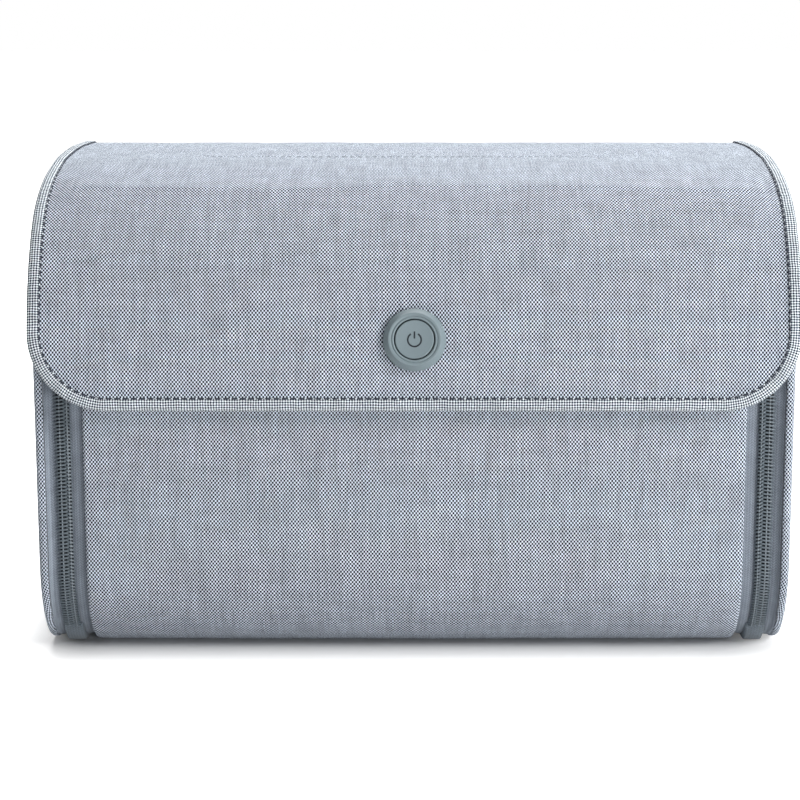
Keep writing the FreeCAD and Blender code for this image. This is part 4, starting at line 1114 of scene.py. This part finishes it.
def coil_cord(name, row, side):
    """The flat filler cord inside a coil row, near black as painted shade in the gaps between the coil's
    turns.
    """
    runs = np.arange(END_RUN + 0.3, row.top - 0.3, 1.5)
    middle = side * (ZIP_X + row.sign * row.cord)
    points, faces = tube(ZIP.place(middle, runs, 0.7 - TAPE_DEPTH), 0.5, sides=8)
    points[:, 0] = middle + (points[:, 0] - middle) * 2.8
    return piece(name, points, faces, coil_core_and_shade)


def coil_seam(name, row, side):
    """The sewn thread that holds a coil row to its tape."""
    x = side * (ZIP_X + row.sign * row.seam)
    path = [(x, END_RUN + 0.4), (x, row.top - 0.3)]
    return stitches(name, ZIP, path, zip_thread, 1.66 - TAPE_DEPTH, pitch=COIL_PITCH, dash=0.85, radius=0.26)


def end_patch(name, side):
    """The patch over the lower end of a zipper: a soft block bent under the base."""
    runs = np.linspace(bend_run(49), bend_run(89.5), 22)
    base = 0.3 - TAPE_DEPTH

    def outer(x, run):
        angle = bend_angle(run)
        proud = np.interp(angle, [49, 58, 70, 80], [-1.5, 0.4, 1.6, 0.3])
        share = end_share(run - runs[-1], 1.4) * end_share(runs[0] - run, 1.4)
        crown = base + (min(proud, floor_clearance(angle)) - base) * share
        return crown - 0.16 * (np.abs(x) / END_PATCH_HALF) ** 4

    def inner(x, run):
        return np.full(x.shape, 0.1 - TAPE_DEPTH)

    made = padded_strip(name, WALL, runs, END_PATCH_HALF, outer, inner, tab_cloth, edge=0.9, columns=12)
    made.data.transform(Matrix.Translation((side * (ZIP_X - 0.4) * MM, 0, 0)))
    return made


for side_name, side in SIDES.items():
    prefix = f"{side_name}_zip"
    outer_runs = np.linspace(TAPE_START, front_run(ZIP_TOP), 92)
    outer_tape = tape_sheet(f"{prefix}_outer_tape_cloth", outer_runs, ZIP_X + 0.4, SIDE_INNER - 0.05, side)
    fitted(outer_tape, "bag", "zip_tape", f"{prefix}_outer_tape")
    inner_runs = np.linspace(TAPE_START, front_run(INNER_ZIP_TOP), 86)
    inner_tape = tape_sheet(f"{prefix}_inner_tape_cloth", inner_runs, TAPE_INNER + 0.1, ZIP_X - 0.4, side)
    folds(inner_tape, "zip_tape", f"{prefix}_inner_tape", f"{prefix}_lower_tape")
    for make, kind in ((coil_row, "coil_wire"), (coil_cord, "cord"), (coil_seam, "seam")):
        for row in ROWS:
            made = make(f"{prefix}_{row.name}_{kind}", row, side)
            nodes = [f"{prefix}_{stretch}_coil" for stretch in row.stretches] if make is coil_row else []
            if row.name == "outer":
                fitted(made, "bag", "zip_coil", *nodes)
            else:
                folds(made, "zip_coil", *nodes)
    fitted(end_patch(f"{prefix}_end_patch", side), "bag", "end_tab", f"{prefix}_end_tab")


# Button


def on_lid(made):
    """Stand a piece, made about Z with its height zero on the lid's face, on the bend at the button."""
    point, out = LID.frame_at(LID_BUTTON)
    out = Vector((0, out[0], out[1]))
    up = Vector((1, 0, 0)).cross(out) * -1
    made.data.transform(Matrix((
        (1, 0, 0, 0),
        (0, up.y, out.y, point[0] * MM),
        (0, up.z, out.z, point[1] * MM),
        (0, 0, 0, 1),
    )))
    return made


def weld(made):
    """Join points that lie on each other, such as on a turned piece's axis, and face the skin outward."""
    mesh = bmesh.new()
    mesh.from_mesh(made.data)
    bmesh.ops.remove_doubles(mesh, verts=mesh.verts, dist=1e-7)
    bmesh.ops.recalc_face_normals(mesh, faces=mesh.faces)
    mesh.to_mesh(made.data)
    mesh.free()
    return made


def lathe(profile, segments):
    """Points and faces of a profile of (radius, height) swept round Z. A radius may differ by segment."""
    angles = np.arange(segments) * 2 * math.pi / segments
    cosine, sine = np.cos(angles), np.sin(angles)
    rings = [np.column_stack([radius * cosine, radius * sine, np.full(segments, z)]) for radius, z in profile]
    return np.concatenate(rings), ring_faces(len(profile), segments)


def turned(name, profile, material):
    return weld(piece(name, *lathe(profile, 96), material))


bezel_profile = [(8.05, 1.25), (8.05, 3.0)]
bezel_profile += arc((8.4, 3.05), 0.35, 180, 90, 5)
bezel_profile += [(8.7, 3.4), (8.82, 3.34), (8.92, 3.08), (9.1, 3.06), (9.2, 3.32), (9.34, 3.4)]
bezel_profile += arc((10.1, 2.9), 0.5, 90, 38, 5)
bezel_profile += [(11.75, 1.28)]
bezel_profile += arc((11.6, 0.62), 0.7, 38, 0, 6)
bezel_profile += [(12.3, -0.2), (12.2, -0.58), (9.6, -0.6), (9.6, -4.25), (9.05, -4.25), (9.05, 1.2)]
bezel_profile += bezel_profile[:1]
fitted(on_lid(turned("bezel_ring", bezel_profile, button_plastic)), "lid", "button_plastic", "button_bezel")

cap_profile = [(0, 2.92), (3, 2.93), (5.5, 2.98), (7.0, 3.06)]
cap_profile += arc((7.22, 2.7), 0.38, 85, 0, 6)
cap_profile += [(7.6, 0.92), (8.35, 0.88), (8.35, -0.08), (0, -0.08)]
fitted(on_lid(turned("button_cap", cap_profile, button_plastic)), "button", "button_plastic", "power_button")


def power_symbol():
    """A plain power sign: an open ring and a bar, flattened and let into the cap."""
    line_radius, level = 0.31, 2.93
    ring = [(x, y, level) for x, y in arc((0, -0.15), 2.62, 58, -238, 56)]
    bar = [(0, y, level) for y in np.linspace(0.35, 3.1, 8)]
    points, faces = join([tube(ring, line_radius, 8), tube(bar, line_radius, 8)])
    points[:, 2] = level + 0.015 + (points[:, 2] - level) * 0.35
    return piece("button_symbol", points, faces, symbol_ink)


fitted(on_lid(power_symbol()), "button", "button_plastic")


# Lamp module


def screw_heads():
    """Cross-head screws in the lamp module's case."""
    segments = 28
    cross = 1 - 0.45 * np.abs(np.sin(np.arange(segments) * 4 * math.pi / segments))
    profile = [(2.3, 0.0), (2.3, -0.35), (2.05, -0.6)]
    profile += [(1.3 * cross, -0.68), (1.25 * cross, -0.3), (0.0, -0.3)]
    head, faces = lathe(profile, segments)
    across, face_z = LAMP_HALF - 9.5, low("lamp_case", "z")
    places = [(x, y, face_z) for x in (-across, 0, across) for y in (LAMP_FRONT_Y + 9, LAMP_BACK_Y - 9)]
    return weld(piece("lamp_case_screws", *join([(head + place, faces) for place in places]), steel))


fitted(screw_heads(), "lid", "socket_steel")


# Looks of the CAD nodes that stay

NODE_LOOKS = {
    grey_board: [f"{part}_board" for part in ("base", "back", "left_side", "right_side", "front", "lid")],
    zip_metal: ["left_zip_slider", "right_zip_slider", "left_zip_pull", "right_zip_pull"],
    magnet_metal: ["front_magnets", "lid_magnets"],
    lamp_white: ["lamp_plate", "lamp_case"],
    black_plastic: ["tact_switch", "switch_back_cover"],
    ribbon_plastic: ["switch_ribbon"],
    circuit: ["led_board", "charge_board", "switch_board"],
    glass: ["lamp_window"],
    resin: ["uv_leds"],
    battery_wrap: ["battery_pack"],
    steel: ["usb_socket"],
}
for material, nodes in NODE_LOOKS.items():
    for node in nodes:
        frame["nodes"][node].data.materials.clear()
        frame["nodes"][node].data.materials.append(material)

SOFT_EDGES = {"lamp_case": 0.9, "lamp_plate": 0.3, "switch_back_cover": 0.2}
SOFT_EDGES.update({node: 0.25 for node in NODE_LOOKS[zip_metal]})
for node, width in SOFT_EDGES.items():
    modifier = frame["nodes"][node].modifiers.new("soft_edges", "BEVEL")
    modifier.width = width * MM
    modifier.segments = 3
    modifier.limit_method = "ANGLE"
    modifier.angle_limit = math.radians(40)
    modifier.harden_normals = False


# Stage, light and camera

FLOOR_REACH = 6.0  # the stage's own lengths are in metres
# Round the object the floor shows its shade; outside this rectangle, set off to the left where the light from
# the right throws the shadow, a painted white glow fades in.
SHADOW_OFFSET = 0.006
SHADOW_HALF = (0.127, 0.054)
SHADOW_FADE = (0.004, 0.05)
WHITE = (1.0, 1.0, 1.0)


def stage():
    """A pale floor that keeps the shadow close to the object and further out glows white for camera rays:
    painted light over the floor's shade there.
    """
    mesh = bpy.data.meshes.new("floor")
    corners = [(x * FLOOR_REACH, y * FLOOR_REACH, 0) for x, y in ((-1, -1), (1, -1), (1, 1), (-1, 1))]
    mesh.from_pydata(corners, [], [(0, 1, 2, 3)])
    g = Graph("floor_paper")
    drift = g.span(g.noise(g.place(), 3.0), 0.995, 1.005)
    g.set(Base_Color=g.vector("SCALE", (0.78, 0.78, 0.78), drift), Roughness=0.9, Specular_IOR_Level=0.0)
    x, y = g.split(g.place())
    beyond = []
    for offset, half in zip((g.math("ADD", x, SHADOW_OFFSET), y), SHADOW_HALF):
        outside = g.math("SUBTRACT", g.math("ABSOLUTE", offset), half)
        beyond.append(g.math("POWER", g.math("MAXIMUM", outside, 0.0), 2.0))
    far = g.math("SQRT", g.math("ADD", *beyond))
    fade = {"Value": far, "From Min": SHADOW_FADE[0], "From Max": SHADOW_FADE[1]}
    white = g.node("ShaderNodeMapRange", fade, interpolation_type="SMOOTHSTEP").outputs[0]
    seen = g.node("ShaderNodeLightPath").outputs["Is Camera Ray"]
    # Camera rays see the floor glow white away from the object: painted light, not a lamp.
    g.set(Emission_Color=rgb(WHITE), Emission_Strength=g.math("MULTIPLY", white, seen))
    mesh.materials.append(g.made)
    floor = bpy.data.objects.new("floor", mesh)
    bpy.context.scene.collection.objects.link(floor)


def light(name, energy, size, place, target):
    data = bpy.data.lights.new(name, "AREA")
    data.energy = energy
    data.shape = "RECTANGLE"
    data.size, data.size_y = size
    made = bpy.data.objects.new(name, data)
    made.location = place
    made.rotation_euler = (Vector(target) - Vector(place)).to_track_quat("-Z", "Y").to_euler()
    bpy.context.scene.collection.objects.link(made)


def world():
    """A white surround that lights the object only a little."""
    g = Graph("studio", bpy.data.worlds, "Background")
    path = g.node("ShaderNodeLightPath").outputs
    seen = g.math("MAXIMUM", path["Is Camera Ray"], path["Is Transmission Ray"])
    g.set(Color=rgb(WHITE), Strength=g.span(seen, 0.13, 1.0))
    bpy.context.scene.world = g.made


stage()
world()
light("key", 24, (0.5, 0.7), (1.4, -0.85, 0.95), (0, 0, 0.1))
light("top", 12.5, (1.7, 1.2), (0.1, 0.2, 1.5), (0, 0, 0.1))
light("back", 34, (1.6, 0.8), (0.1, 1.0, 1.25), (0, 0, 0.15))
light("fill", 14, (1.4, 0.3), (0.85, -1.6, 0.16), (0, 0, 0.06))

PICTURE_PIXELS = 800
FOCAL_PIXELS = 2220
OFFSET_PIXELS = 14.5  # the photograph is cropped a little off the object's middle
SENSOR = 36
CAMERA_PLACE = (0, -0.938, 0.276)
CAMERA_PITCH = math.radians(11.2)
camera_data = bpy.data.cameras.new("camera")
camera_data.sensor_width = SENSOR
camera_data.lens = SENSOR * FOCAL_PIXELS / PICTURE_PIXELS
camera_data.shift_x = -OFFSET_PIXELS / PICTURE_PIXELS
camera = bpy.data.objects.new("camera", camera_data)
camera.location = CAMERA_PLACE
camera.rotation_euler = (QUARTER - CAMERA_PITCH, 0, 0)
bpy.context.scene.collection.objects.link(camera)
bpy.context.scene.camera = camera
bpy.context.scene.view_settings.view_transform = "Standard"
